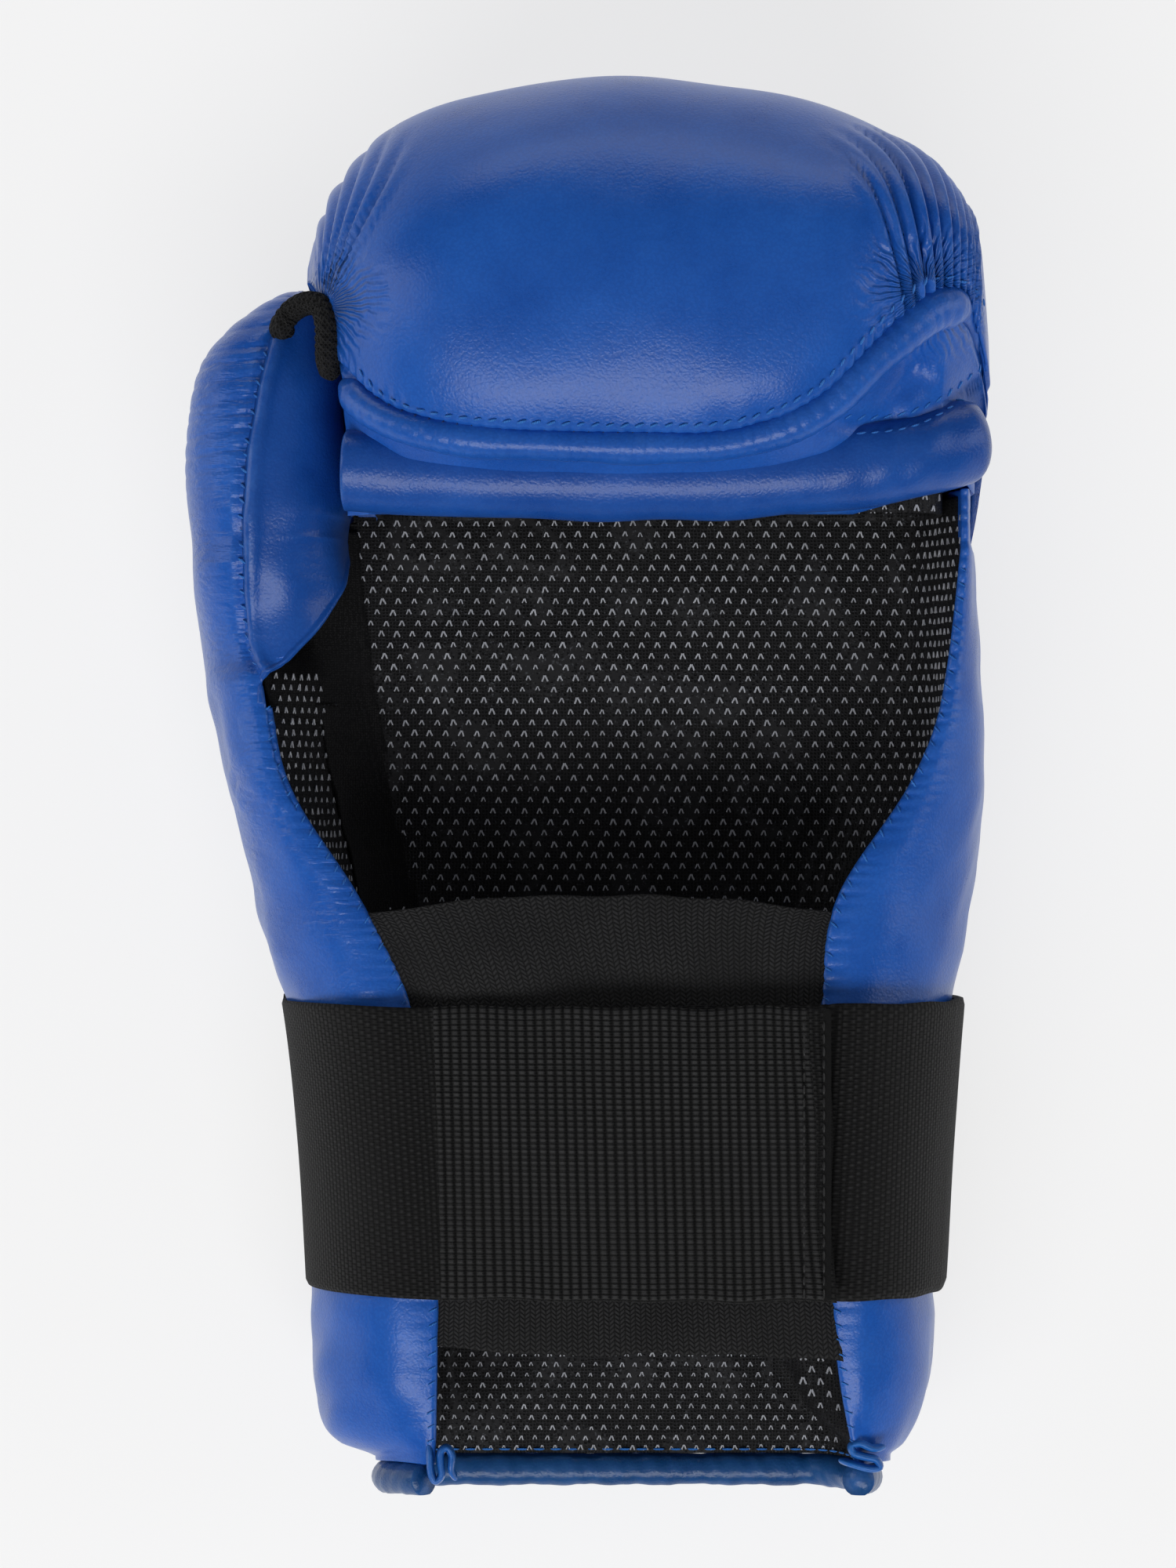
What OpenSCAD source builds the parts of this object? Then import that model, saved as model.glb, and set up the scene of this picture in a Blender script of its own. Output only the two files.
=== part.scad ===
// Open-palm sparring glove for the left hand, lying on its back with the palm up.
// X runs across the hand with the thumb at -X, Y runs from the cuff to the fingers,
// and Z rises from the back of the hand to the palm. Millimetres.

/* [Hand tray] */
// Distance from the origin to the cuff end of the padded tray
cuff_y = 119.5; // [114:0.5:124]
// Distance from the origin to the line where the finger roll flexes
knuckle_y = 42; // [39:0.5:45]
// Distance from the origin to the base of the thumb
web_y = 18; // [15:0.5:21]
// Left side of the tray at the wrist, from the centre line
wrist_left = 51; // [47:0.5:54]
// Right side of the tray at the wrist, from the centre line
wrist_right = 63; // [59:0.5:66]
// Left side of the tray beside the palm, from the centre line
palm_left = 64.5; // [62:0.5:67]
// Right side of the tray beside the palm, from the centre line
palm_right = 69.5; // [66:0.5:71]
// Height of the rims over the wrist
wrist_h = 57; // [52:0.5:61]
// Height of the rims beside the palm
palm_h = 50; // [46:0.5:54]
// Height of the lined floor that the back of the hand lies on
floor_z = 22.5; // [19:0.5:25]
// Rise of the outer face under the wrist, which leaves room for the strap
wrist_lift = 4.5; // [4:0.1:6]
// Thickness of the right side wall beside the palm
wall_right = 8; // [7:0.5:10]
// Thickness of the padded side walls at the wrist
wall_wrist = 16; // [13:0.5:18]

/* [Mouth] */
// Left rim of the mouth at the wrist, from the centre line
mouth_left = 27; // [24:0.5:30]
// Right rim of the mouth at the wrist, from the centre line
mouth_right = 42; // [38:0.5:46]

/* [Layers] */
// Thickness of the leather
leather_t = 1.2; // [0.9:0.1:1.8]
// Thickness of the mesh lining
lining_t = 1.6; // [1.2:0.1:2.2]
// Thickness of the foam where it runs out at a sewn edge
foam_edge = 0.6; // [0.5:0.1:1.5]
// Clearance between sewn layers
gap = 0.12; // [0.1:0.01:0.2]

/* [Finger roll] */
// Distance from the origin to the top of the finger roll
roll_top = 125; // [120:0.5:130]
// Height of the padded front of the finger roll
roll_front = 86; // [82:0.5:90]
// Width of the finger roll
roll_w = 120; // [116:0.5:124]
// Height inside the finger pocket
pocket_h = 34; // [28:0.5:37]
// Distance from the origin to the closed end of the finger pocket
pocket_end = 101; // [96:0.5:105]
// Thickness of the side walls of the finger pocket
pocket_wall = 8; // [7:0.5:10]
// Radius of the rolled leather lip
lip_r = 3; // [2.5:0.1:3.4]
// Width of the padded finger band
band_w = 14; // [12:0.5:15]
// Thickness of the padded finger band
band_t = 9; // [7:0.5:10]

/* [Thumb] */
// Distance from the origin to the tip of the thumb
thumb_tip = 88.3; // [84:0.1:89]
// Width of the thumb at its middle
thumb_w = 27.4; // [25:0.2:29]
// Depth of the thumb at its middle
thumb_h = 44; // [40:0.5:46]
// Thickness of the pocket lining in the thumb
thumb_lining_t = 1.2; // [1:0.1:1.6]
// Diameter of the braided tie between thumb and finger roll
tie_d = 4; // [3:0.1:5]

/* [Strap] */
// Width of the strap webbing
strap_w = 51; // [46:0.5:54]
// Thickness of the strap webbing
strap_t = 1.6; // [1.2:0.1:2]
// Thickness of each of the hook and loop patches
patch_t = 1; // [0.8:0.1:1.2]
// Distance of the strap's centre from the origin, towards the cuff
strap_y = 64; // [62:0.5:66]
// Distance from the centre line to the strap's free end
tail_end = 42; // [36:0.5:44]
// Length of the hook patch along the strap
hook_len = 34; // [26:0.5:40]
// Length of the elastic panel along the wrist
elastic_len = 80; // [72:0.5:84]
// Thickness of the elastic panel
elastic_t = 1.6; // [1.2:0.1:2]

/* [Cuff] */
// Radius of the leather binding on the cuff edge
binding_r = 2.8; // [2.4:0.1:3.2]

/* [Motion] */
// Angle by which the finger roll can be opened
finger_open = 12; // [6:1:14]
// Clearance between bodies that move
run_gap = 0.3; // [0.3:0.05:0.6]

/* [Hidden] */
leather_blue = [0.08, 0.23, 0.6];
binding_blue = [0.11, 0.32, 0.6];
black = [0.03, 0.03, 0.035];
foam_grey = [0.75, 0.75, 0.72];
far = 200;          // reach of the cutting solids
steps = 5;          // spans of each curve of a wall
edge_t = leather_t + lining_t + foam_edge + 2 * gap;
knuckle_z = 10;     // height of the finger roll's flex axis
split_x = -43;      // plane between the thumb and the finger roll
tie_y = 92;         // the roll bulges past the thumb's tip beyond this line

// ---- curves ----
function mix(a, b, t) = a + (b - a) * t;
function bezier(a, b, c, d, t) =
  a * pow(1 - t, 3) + b * 3 * pow(1 - t, 2) * t + c * 3 * (1 - t) * t * t + d * pow(t, 3);
function bezier_points(a, b, c, d, n, first = 0) =
  [for (i = [first:n]) bezier(a, b, c, d, i / n)];
function slope(table, i, k) =
  let (a = max(i - 1, 0), b = min(i + 1, len(table) - 1))
  (table[b][k] - table[a][k]) / (table[b][0] - table[a][0]);
// Value k of a table at y, on one smooth curve through its rows
function smooth(table, y, k = 1) =
  let (
    last = len(table) - 1,
    q = min(max(y, table[0][0]), table[last][0]),
    i = max([for (j = [0:last - 1]) if (table[j][0] <= q) j]),
    w = table[i + 1][0] - table[i][0],
    t = (q - table[i][0]) / w
  )
  bezier(table[i][k], table[i][k] + slope(table, i, k) * w / 3,
         table[i + 1][k] - slope(table, i + 1, k) * w / 3, table[i + 1][k], t);
function backwards(list) = [for (i = [len(list) - 1:-1:0]) list[i]];
function unit(v) = v / norm(v);

// ---- solids from rings of points ----
function side_faces(n, m) = [
  for (r = [0:n - 2], i = [0:m - 1])
    let (j = (i + 1) % m, a = r * m + i, b = r * m + j, c = (r + 1) * m + j, d = (r + 1) * m + i)
    each [[a, b, c], [a, c, d]]
];
function end_faces(n, m) = [[for (i = [m - 1:-1:0]) i], [for (i = [0:m - 1]) (n - 1) * m + i]];
function fan_volume(p, f) = [
  for (i = [1:len(f) - 2]) p[f[0]] * cross(p[f[i]], p[f[i + 1]])
];
function total(list, i = 0, sum = 0) = i == len(list) ? sum : total(list, i + 1, sum + list[i]);
// Joins rings of equal length into one closed solid, with its faces turned outwards
module skin(rings) {
  n = len(rings);
  m = len(rings[0]);
  points = [for (r = rings) each r];
  faces = concat(side_faces(n, m), end_faces(n, m));
  volume = total([for (f = faces) each fan_volume(points, f)]);
  polyhedron(points, volume > 0 ? [for (f = faces) backwards(f)] : faces, convexity = 6);
}

// Cuts and joins its pieces as one mesh: their faces are flat facets anyway
module cut_mesh() {
  resize([0, 0, 0]) children();
}

// ---- the hand tray ----
// Each row: y, side, rim, rim height, floor corner, wall thickness, distances from the centre line
left_rows = [
  [-cuff_y, wrist_left - 4, mouth_left + 1, wrist_h - 6, 24, wall_wrist - 3],
  [-97, wrist_left - 2, mouth_left + 0.5, wrist_h - 2, 21, wall_wrist - 1],
  [-strap_y, wrist_left, mouth_left, wrist_h, 22, wall_wrist],
  [-38, wrist_left + 3, mouth_left + 5.2, wrist_h, 28, wall_wrist],
  [-20, wrist_left + 7.5, mouth_left + 14, wrist_h - 1, 31, wall_wrist + 1],
  [0, palm_left, palm_left - 11, palm_h + 3, 34, wall_wrist + 2],
  [web_y, palm_left + 3.8, palm_left - 7, palm_h, 38, wall_wrist + 3],
  [knuckle_y, palm_left + 6.2, palm_left - 2, palm_h, 42, wall_wrist + 3]
];
right_rows = [
  [-cuff_y, wrist_right - 5, mouth_right + 5, wrist_h - 6, 38, wall_wrist - 5],
  [-97, wrist_right - 2, mouth_right + 2, wrist_h - 2, 33, wall_wrist - 2],
  [-strap_y, wrist_right, mouth_right - 0.5, wrist_h, 32, wall_wrist],
  [-38, wrist_right + 2, mouth_right - 0.5, wrist_h, 32, wall_wrist],
  [-20, wrist_right + 4, mouth_right + 2.4, wrist_h - 1, 34.5, wall_wrist],
  [0, palm_right, palm_right - 12.5, palm_h + 3, 43, wall_right + 4],
  [14, palm_right + 0.5, palm_right - 7, palm_h + 1, 52, wall_right + 1],
  [knuckle_y, palm_right - 0.8, palm_right - 3, palm_h, 57, wall_right - 1]
];
base_rows = [[-cuff_y, wrist_lift], [-38, wrist_lift], [-20, 0], [knuckle_y, 0]];
corner_r = 26;      // how far the flat back stays from each side
rim_drop = 10;      // how far the inner wall falls before it turns
round_len = 17;     // length of the cuff end that rounds over
tray_y = [
  -cuff_y, -cuff_y + 1.5, -cuff_y + 4, -cuff_y + 8, -cuff_y + 14, -97, -88, -76, -strap_y,
  -51, -38, -29, -20, -10, 0, 9, web_y, 30, knuckle_y - run_gap
];

// One wall's outer curve in XZ, from its rim over the top and down to the flat back
function wall_outer(s, y, rows) =
  let (
    side = [s * smooth(rows, y, 1), 0.46 * smooth(rows, y, 3)],
    rim = [s * smooth(rows, y, 2), smooth(rows, y, 3)],
    base = [side[0] - s * corner_r, lookup(y, base_rows)],
    rise = rim[1] - side[1],
    reach = side[0] - rim[0]
  )
  concat(
    bezier_points(rim, rim + [reach * 0.4, 0.18 * abs(reach)], side + [0, rise * 0.7], side, steps),
    bezier_points(side, [side[0], mix(side[1], base[1], 0.6)], base + [s * corner_r * 0.55, 0],
                  base, steps, 1)
  );
// The same wall's inner curve, from the rim down to the floor
function wall_inner(s, y, rows) =
  let (
    rim = [s * smooth(rows, y, 2), smooth(rows, y, 3) - edge_t],
    corner = [s * smooth(rows, y, 4), floor_z],
    middle = s * (smooth(rows, y, 1) - smooth(rows, y, 5)),
    bulge = (8 * middle - rim[0] - corner[0]) / 6
  )
  bezier_points(rim, [bulge, rim[1] - rim_drop], [bulge, floor_z], corner, 2 * steps);
function across(left, right) =
  let (a = left[len(left) - 1], b = right[len(right) - 1])
  concat(left, [for (i = [1:3]) mix(a, b, i / 4)], backwards(right));
function tray_inner(y) = across(wall_inner(-1, y, left_rows), wall_inner(1, y, right_rows));
function roundness(y) =
  let (t = min(1, max(0, (round_len - cuff_y - y) / round_len))) sqrt(1 - t * t);
// Outer curve, drawn in to the sewn edge over the rounded cuff end
function tray_outer(y) =
  let (
    out = across(wall_outer(-1, y, left_rows), wall_outer(1, y, right_rows)),
    in = tray_inner(y)
  )
  [for (i = [0:len(out) - 1])
    let (d = norm(out[i] - in[i])) in[i] + (out[i] - in[i]) / d * max(edge_t, d * roundness(y))];
// The tray at a depth below its outer face (from_inner = false) or above its inner face
function tray_layer(y, depth, from_inner = false) =
  let (out = tray_outer(y), in = tray_inner(y))
  [for (i = [0:len(out) - 1])
    let (n = unit(in[i] - out[i])) from_inner ? in[i] - n * depth : out[i] + n * depth];
function trim_ends(list, n) = [for (i = [n:len(list) - 1 - n]) list[i]];
function xz_ring(list, y) = [for (p = list) [p[0], y, p[1]]];
function ring_leather(y) =
  xz_ring(concat(tray_layer(y, 0), backwards(tray_layer(y, leather_t))), y);
// The foam's ring runs the other way, so that its facets lie along those of its neighbours
function ring_foam(y) = xz_ring(backwards(concat(
  trim_ends(tray_layer(y, leather_t + gap), 1),
  backwards(trim_ends(tray_layer(y, lining_t + gap, true), 1)))), y);
function ring_lining(y) =
  xz_ring(concat(tray_layer(y, lining_t, true), backwards(tray_layer(y, 0, true))), y);
// Clears the place of the thumb, which stands beside the palm on its own body
module thumb_clear() {
  translate([split_x - far, web_y - run_gap, -far]) cube([far, tie_y - web_y + run_gap, 2 * far]);
}
module hand_shell() {
  color(leather_blue) cut_mesh() difference() {
    skin([for (y = tray_y) ring_leather(y)]);
    thumb_clear();
  }
}
module hand_foam() {
  color(foam_grey) cut_mesh() difference() {
    skin([for (y = tray_y) ring_foam(y)]);
    thumb_clear();
  }
}
module hand_lining() {
  color(black) cut_mesh() difference() {
    skin([for (y = tray_y) ring_lining(y)]);
    thumb_clear();
  }
}

// ---- the cuff binding ----
// Oval ring across a path in XZ at point i, with half-depth a along Y and half-thickness b
function path_normal(path, i) =
  let (t = unit(path[min(i + 1, len(path) - 1)] - path[max(i - 1, 0)])) [-t[1], t[0]];
function oval_across(path, i, y, a, b, n = 10) =
  let (v = path_normal(path, i))
  [for (k = [0:n - 1])
    let (c = a * cos(360 * k / n), s = b * sin(360 * k / n))
    [path[i][0] + v[0] * s, y + c, path[i][1] + v[1] * s]];
function edge_path() = tray_layer(-cuff_y, edge_t / 2, true);
binding_y = -cuff_y - gap - binding_r;
binding_half = edge_t / 2 + 1.1;
module cuff_binding() {
  path = trim_ends(edge_path(), 1);
  color(binding_blue)
    skin([for (i = [0:len(path) - 1]) oval_across(path, i, binding_y, binding_r, binding_half)]);
}
// Folded end of the binding over one rim, rounded at its top
module binding_end(first, second, third) {
  run = unit(second - first);
  next = unit(third - second);
  length = norm(second - first) - gap;
  color(leather_blue) skin([
    for (t = [0, 0.6, 0.9, 1])
      let (
        k = t < 1 ? sqrt(1 - t * t * 0.9) : 0.2,
        along = t > 0 ? run : next,
        side = [-along[1], along[0]],
        c = second - run * (2 * gap + length * t)
      )
      [for (j = [0:9])
        let (s = (binding_half + 0.3) * k * sin(36 * j))
        [c[0] + side[0] * s, binding_y + binding_r * k * cos(36 * j), c[1] + side[1] * s]]
  ]);
}
module binding_end_left() {
  path = edge_path();
  binding_end(path[0], path[1], path[2]);
}
module binding_end_right() {
  path = edge_path();
  last = len(path) - 1;
  binding_end(path[last], path[last - 1], path[last - 2]);
}

// ---- the wrist elastic and the strap ----
function left_top(y, n) = [for (i = [n:-1:0]) tray_outer(y)[i]];
function right_top(y, n) =
  let (out = tray_outer(y)) [for (i = [len(out) - 1:-1:len(out) - 1 - n]) out[i]];
function drift(a, b, depth) = [(a[0] + b[0]) / 2, (a[1] + b[1]) / 2 - depth];
// Offset of a curve in XZ to its left by d
function beside(path, d) =
  [for (i = [0:len(path) - 1]) path[i] + path_normal(path, i) * d];
function sheet_ring(path, y, low, high) =
  xz_ring(concat(beside(path, low), backwards(beside(path, high))), y);
elastic_top = -19.5;
elastic_y = [for (k = [0:6]) elastic_top - elastic_len * k / 6];
function elastic_path(y) =
  let (a = left_top(y, 1), b = right_top(y, 1)) concat(a, [drift(a[1], b[0], 0.4)], b);
wall_gap = 0.3;                             // clearance of the strap over the leather
module wrist_elastic() {
  color(black) cut_mesh()
    skin([for (y = elastic_y) sheet_ring(elastic_path(y), y, wall_gap, wall_gap + elastic_t)]);
}
strap_ys = [for (k = [0:4]) -strap_y + strap_w * (k / 4 - 0.5)];
hinge_x = -(wrist_left + 3.5);
hinge_z = wrist_h - 14;
over = elastic_t + wall_gap;                // rise of the strap over the elastic
base_z = wrist_h + over + wall_gap + gap;   // underside of the fixed strap between the rims
loop_z = base_z + strap_t + gap;            // underside of the loop patch
hook_z = loop_z + patch_t + run_gap;        // underside of the hook patch
tail_z = hook_z + patch_t + gap;            // underside of the tail over the patches
base_end = tail_end - hook_len - 1;
function climb(p) = p + [0, over * max(0, p[1] - hinge_z) / (wrist_h - hinge_z)];
// Up the left wall from the hinge, and across to the free end
function tail_path(y) = concat(
  [for (p = left_top(y, 5)) if (p[1] > hinge_z + run_gap) climb(p)],
  [[-12, mix(base_z, tail_z, 0.3)], [base_end - 3, tail_z - wall_gap],
   [mix(base_end, tail_end, 0.5), tail_z - wall_gap], [tail_end, tail_z - wall_gap]]
);
module strap_tail() {
  color(black) cut_mesh()
    skin([for (y = strap_ys) sheet_ring(tail_path(y), y, wall_gap, wall_gap + strap_t)]);
}
// Round the glove from below the hinge, under the back, over the right wall and on to the elastic
function base_path(y) = concat(
  [for (p = tray_outer(y)) if (p[0] > 0 || p[1] < hinge_z - run_gap) p[0] > 0 ? climb(p) : p],
  [[mix(base_end, mouth_right, 0.5), base_z - wall_gap], [base_end, base_z - wall_gap]]
);
module strap_base() {
  color(black) cut_mesh()
    skin([for (y = strap_ys) sheet_ring(base_path(y), y, -wall_gap, -wall_gap - strap_t)]);
}
// Thin slab that lies flat across the strap
module slab(x0, x1, y, width, z, thick) {
  translate([x0, y - width / 2, z]) cube([x1 - x0, width, thick]);
}
patch_margin = 2;                           // webbing left bare beside the patches
patch_inset = 1.2;                          // webbing left bare past the patches' ends
module loop_patch() {
  color(black)
    slab(base_end + patch_inset, mouth_right - 2 * patch_inset, -strap_y,
         strap_w - 2 * patch_margin, loop_z, patch_t);
}
module hook_patch() {
  color(black)
    slab(base_end + patch_inset, tail_end - patch_inset, -strap_y,
         strap_w - 2 * patch_margin, hook_z, patch_t);
}
hem_t = 0.8;
hem_w = 6;
module tail_hem() {
  color(black)
    slab(tail_end - hem_w, tail_end - 0.2, -strap_y, strap_w - 1, tail_z + strap_t + gap, hem_t);
}
stitch_t = 0.6;
stitch_w = 2;
stitch_half = 16;                           // half the side of the sewn square
// Sewn square that holds the strap to the back of the glove
module strap_stitch() {
  z = wrist_lift - wall_gap - strap_t - gap - stitch_t;
  color(leather_blue) difference() {
    slab(-stitch_half, stitch_half, -strap_y, 2 * stitch_half, z, stitch_t);
    slab(-stitch_half + stitch_w, stitch_half - stitch_w, -strap_y,
         2 * (stitch_half - stitch_w), z - 1, stitch_t + 2);
  }
}

// ---- the finger roll ----
roll_mid_x = 10.5;
// Columns: x, furthest y, front height, underside at the flex line, start, top of wall, lip y, lip z
roll_rows = [
  [-49.6, 92, 45, 30, knuckle_y + 30, 44, 76, 46],
  [-48, 98, 55, 14, knuckle_y, 47, 74, 50],
  [-44, 104, 65, 3, knuckle_y, 49, 70.8, 59],
  [-38, 110.5, 74, 0, knuckle_y, palm_h, 64.4, 67],
  [-31, 115.5, 80, 0, knuckle_y, palm_h, 60.8, 71.5],
  [-21, 119.5, 84, 0, knuckle_y, palm_h, 58.8, 74],
  [-7, 123.6, roll_front, 0, knuckle_y, palm_h, 57.9, 75],
  [10, roll_top, roll_front, 0, knuckle_y, palm_h, 57.5, 75],
  [26, 123.3, roll_front, 0, knuckle_y, palm_h, 58.4, 75],
  [40, 119.3, 84.6, 0, knuckle_y, palm_h, 64, 75],
  [51, 115, 81.5, 0.8, knuckle_y, palm_h, 75, 73.5],
  [59, 110.5, 77, 3.2, knuckle_y, palm_h, 82.6, 69.5],
  [65, 104.5, 69.5, 8, knuckle_y, palm_h - 1, 82.2, 61.5],
  [68.8, 97, 59, 22, knuckle_y, 36, 74.5, 51],
  [70.5, 82, 47, 34, knuckle_y + 16, 42, 66, 45]
];
crest_share = 0.42;         // place of the roll's crest between its lip and its far side
turn_z = 47;                // height at which the roll's far side stands upright
foot_y = knuckle_y + 20;    // furthest that the roll's underside stays flat
mouth_y = knuckle_y + 5;    // lower edge of the finger band over the mouth
mouth_z = 59;
band_row = [
  [-43, 55.6, 60], [-21, 54.3, 62.5], [6, 53.8, 63], [28, 54.2, 63], [46, 56, 62],
  [58, 58.3, 59.5], [65, 60.6, 56], [69, 63, 52]
];
function squeeze(x, d) =
  let (half = roll_w / 2) roll_mid_x + (x - roll_mid_x) * (half - d) / (roll_rows_half());
function roll_rows_half() = (roll_rows[len(roll_rows) - 1][0] - roll_rows[0][0]) / 2;
// One ring of the roll in YZ at a row of the table, drawn in by d from every outer face
function roll_ring(row, d) =
  let (
    start = row[4],
    far_y = row[1] - d,
    front = row[2] - d,
    base = row[3] + d,
    wall = row[5] - d,
    lip = [row[6] + d * 0.9, row[7] - d * 0.4],
    foot = [min(foot_y, mix(start, far_y, 0.3)), base],
    crest = [mix(lip[0], far_y, crest_share), front],
    far = [far_y, min(turn_z, mix(base, front, 0.5))],
    low = [min(mouth_y, mix(start, lip[0], 0.3)) + d * 0.5, max(wall, min(mouth_z, lip[1] - 8) - d)]
  )
  concat(
    [[start, base]],
    bezier_points(foot, [mix(foot[0], far[0], 0.55), base],
                  [far[0], mix(base, far[1], 0.45)], far, 5),
    bezier_points(far, [far[0], mix(far[1], front, 0.62)],
                  [mix(crest[0], far[0], 0.5), front], crest, 5, 1),
    bezier_points(crest, [mix(crest[0], lip[0], 0.5), front],
                  [lip[0] + 0.5, mix(lip[1], front, 0.45)], lip, 4, 1),
    [mix(lip, low, 0.5), low, [start, wall]]
  );
module roll(d) {
  skin([for (row = roll_rows) [for (p = roll_ring(row, d)) [squeeze(row[0], d), p[0], p[1]]]]);
}
// The roll without the thumb's place, its left side drawn in by d too
module roll_body(d) {
  difference() {
    roll(d);
    translate([split_x + d - far, -far, -far]) cube([far, far + tie_y + d, 2 * far]);
  }
}
// Rounded tube of the finger pocket: half-sizes grow by d, and the closed end moves out by d
pocket_left = split_x + leather_t + 5;
pocket_right = 61.5;
pocket_x = (pocket_left + pocket_right) / 2;
pocket_half = (pocket_right - pocket_left) / 2;
pocket_z = floor_z + pocket_h / 2;
function power_oval(x, y, z, a, b, n, p) = [
  for (k = [0:n - 1])
    let (c = cos(360 * (k + 0.5) / n), s = sin(360 * (k + 0.5) / n))
    [x + a * sign(c) * pow(abs(c), 2 / p), y, z + b * sign(s) * pow(abs(s), 2 / p)]
];
module pocket(d, front) {
  skin([
    for (q = [[front, 1], [pocket_end - 26, 1], [pocket_end - 12, 0.93], [pocket_end - 4, 0.75],
              [pocket_end, 0.45]])
      power_oval(pocket_x, q[0] + (q[1] < 1 ? d : 0), pocket_z,
                 pocket_half * q[1] + d, pocket_h / 2 * q[1] + d, 20, 4.5)
  ]);
}
// Tube along a hand-drawn line, oval in the YZ plane
module rod(line, a, b, tilt, n = 10) {
  skin([
    for (p = line)
      [for (k = [0:n - 1])
        let (c = a * cos(360 * k / n), s = b * sin(360 * k / n))
        [p[0], p[1] + c * cos(tilt) - s * sin(tilt), p[2] + c * sin(tilt) + s * cos(tilt)]]
  ]);
}
band_tilt = 24;
module band_solid(d) {
  rod(band_row, band_w / 2 + d, band_t / 2 + d, band_tilt, 12);
}
lip_line = [for (row = roll_rows) if (row[0] > split_x && row[0] < 70) [row[0], row[6], row[7]]];
module lip_solid(d, n = 8) {
  rod(lip_line, lip_r + d, lip_r + d, 0, n);
}
// Leaves the finger body clear of the hand while it opens about its flex line
module flex_clear() {
  slant = tan(finger_open);
  translate([-far, 0, 0]) rotate([90, 0, 90]) linear_extrude(2 * far) polygon([
    [knuckle_y - 20, far], [knuckle_y + run_gap, far], [knuckle_y + run_gap, knuckle_z],
    [knuckle_y + run_gap + slant * (knuckle_z + far), -far], [knuckle_y - 20, -far]
  ]);
}
// Space in front of the lip's line and under it, which holds the facing and the mouth
module facing_zone() {
  skin([for (row = roll_rows) if (row[0] < roll_mid_x + roll_w / 2 - 2) [
    [row[0], row[6] + 4, row[7]], [row[0], row[6] + 4, mouth_z - 12],
    [row[0], 0, mouth_z - 12], [row[0], 0, row[7]]
  ]]);
}
module roll_cuts() {
  lip_solid(gap);
  band_solid(gap);
  flex_clear();
}
module finger_shell() {
  color(leather_blue) cut_mesh() difference() {
    roll_body(0);
    roll_body(leather_t);
    pocket(lining_t + gap, 0);
    facing_zone();
    roll_cuts();
  }
}
module finger_facing() {
  color(leather_blue) cut_mesh() intersection() {
    difference() {
      roll_body(0);
      roll_body(leather_t);
      pocket(lining_t + gap, 0);
      roll_cuts();
    }
    facing_zone();
  }
}
module finger_foam() {
  color(foam_grey) cut_mesh() difference() {
    roll_body(leather_t + 2 * gap);
    pocket(lining_t + gap, 0);
    roll_cuts();
  }
}
module finger_lining() {
  color(black) cut_mesh() difference() {
    intersection() {
      pocket(lining_t, 0);
      roll_body(leather_t + 2 * gap);
    }
    pocket(0, -1);
    roll_cuts();
  }
}
module finger_lip() {
  color(leather_blue) lip_solid(0);
}
module finger_band() {
  color(leather_blue) cut_mesh() difference() {
    band_solid(0);
    rod(band_core_line(-0.1), band_w / 2 - leather_t, band_t / 2 - leather_t, band_tilt, 12);
    lip_solid(gap);
  }
}
// The band's own line, drawn in at its right end and by a share of its first span at its left
function band_core_line(inset) =
  let (last = len(band_row) - 1)
  [for (i = [0:last])
    i == 0 ? mix(band_row[0], band_row[1], inset)
    : i == last ? mix(band_row[last], band_row[last - 1], 0.4) : band_row[i]];
module band_core() {
  color(foam_grey)
    rod(band_core_line(0.02), band_w / 2 - leather_t - gap, band_t / 2 - leather_t - gap,
        band_tilt, 12);
}

// ---- the thumb ----
// Columns: y, left, right, underside, top, each at the leather's outer face
thumb_base = palm_left + 4;
thumb_side = split_x - run_gap;
thumb_left = thumb_side - thumb_w;
thumb_top = 12 + thumb_h;
thumb_rows = [
  [web_y + run_gap, -thumb_base, thumb_side, 3, palm_h],
  [26, thumb_left + 1.2, thumb_side, 5, palm_h + 2],
  [34, thumb_left + 0.4, thumb_side, 8, thumb_top - 2],
  [46, thumb_left, thumb_side, 10.5, thumb_top],
  [58, thumb_left + 0.2, thumb_side, 12, thumb_top],
  [67, thumb_left + 1.4, thumb_side - 0.2, 13, thumb_top - 0.5],
  [75, thumb_left + 4.4, thumb_side - 0.9, 15, thumb_top - 2.5],
  [81, thumb_left + 9.2, thumb_side - 2.2, 18, thumb_top - 6],
  [85.5, thumb_left + 14, thumb_side - 4.2, 22, thumb_top - 11],
  [thumb_tip, thumb_left + 18, thumb_side - 6.2, 28, thumb_top - 18]
];
thumb_round = 2.7;
module thumb(d) {
  skin([for (row = thumb_rows)
    power_oval((row[1] + row[2]) / 2, row[0] > 70 ? row[0] - d : row[0], (row[3] + row[4]) / 2,
               (row[2] - row[1]) / 2 - d, (row[4] - row[3]) / 2 - d, 20, thumb_round)]);
}
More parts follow.
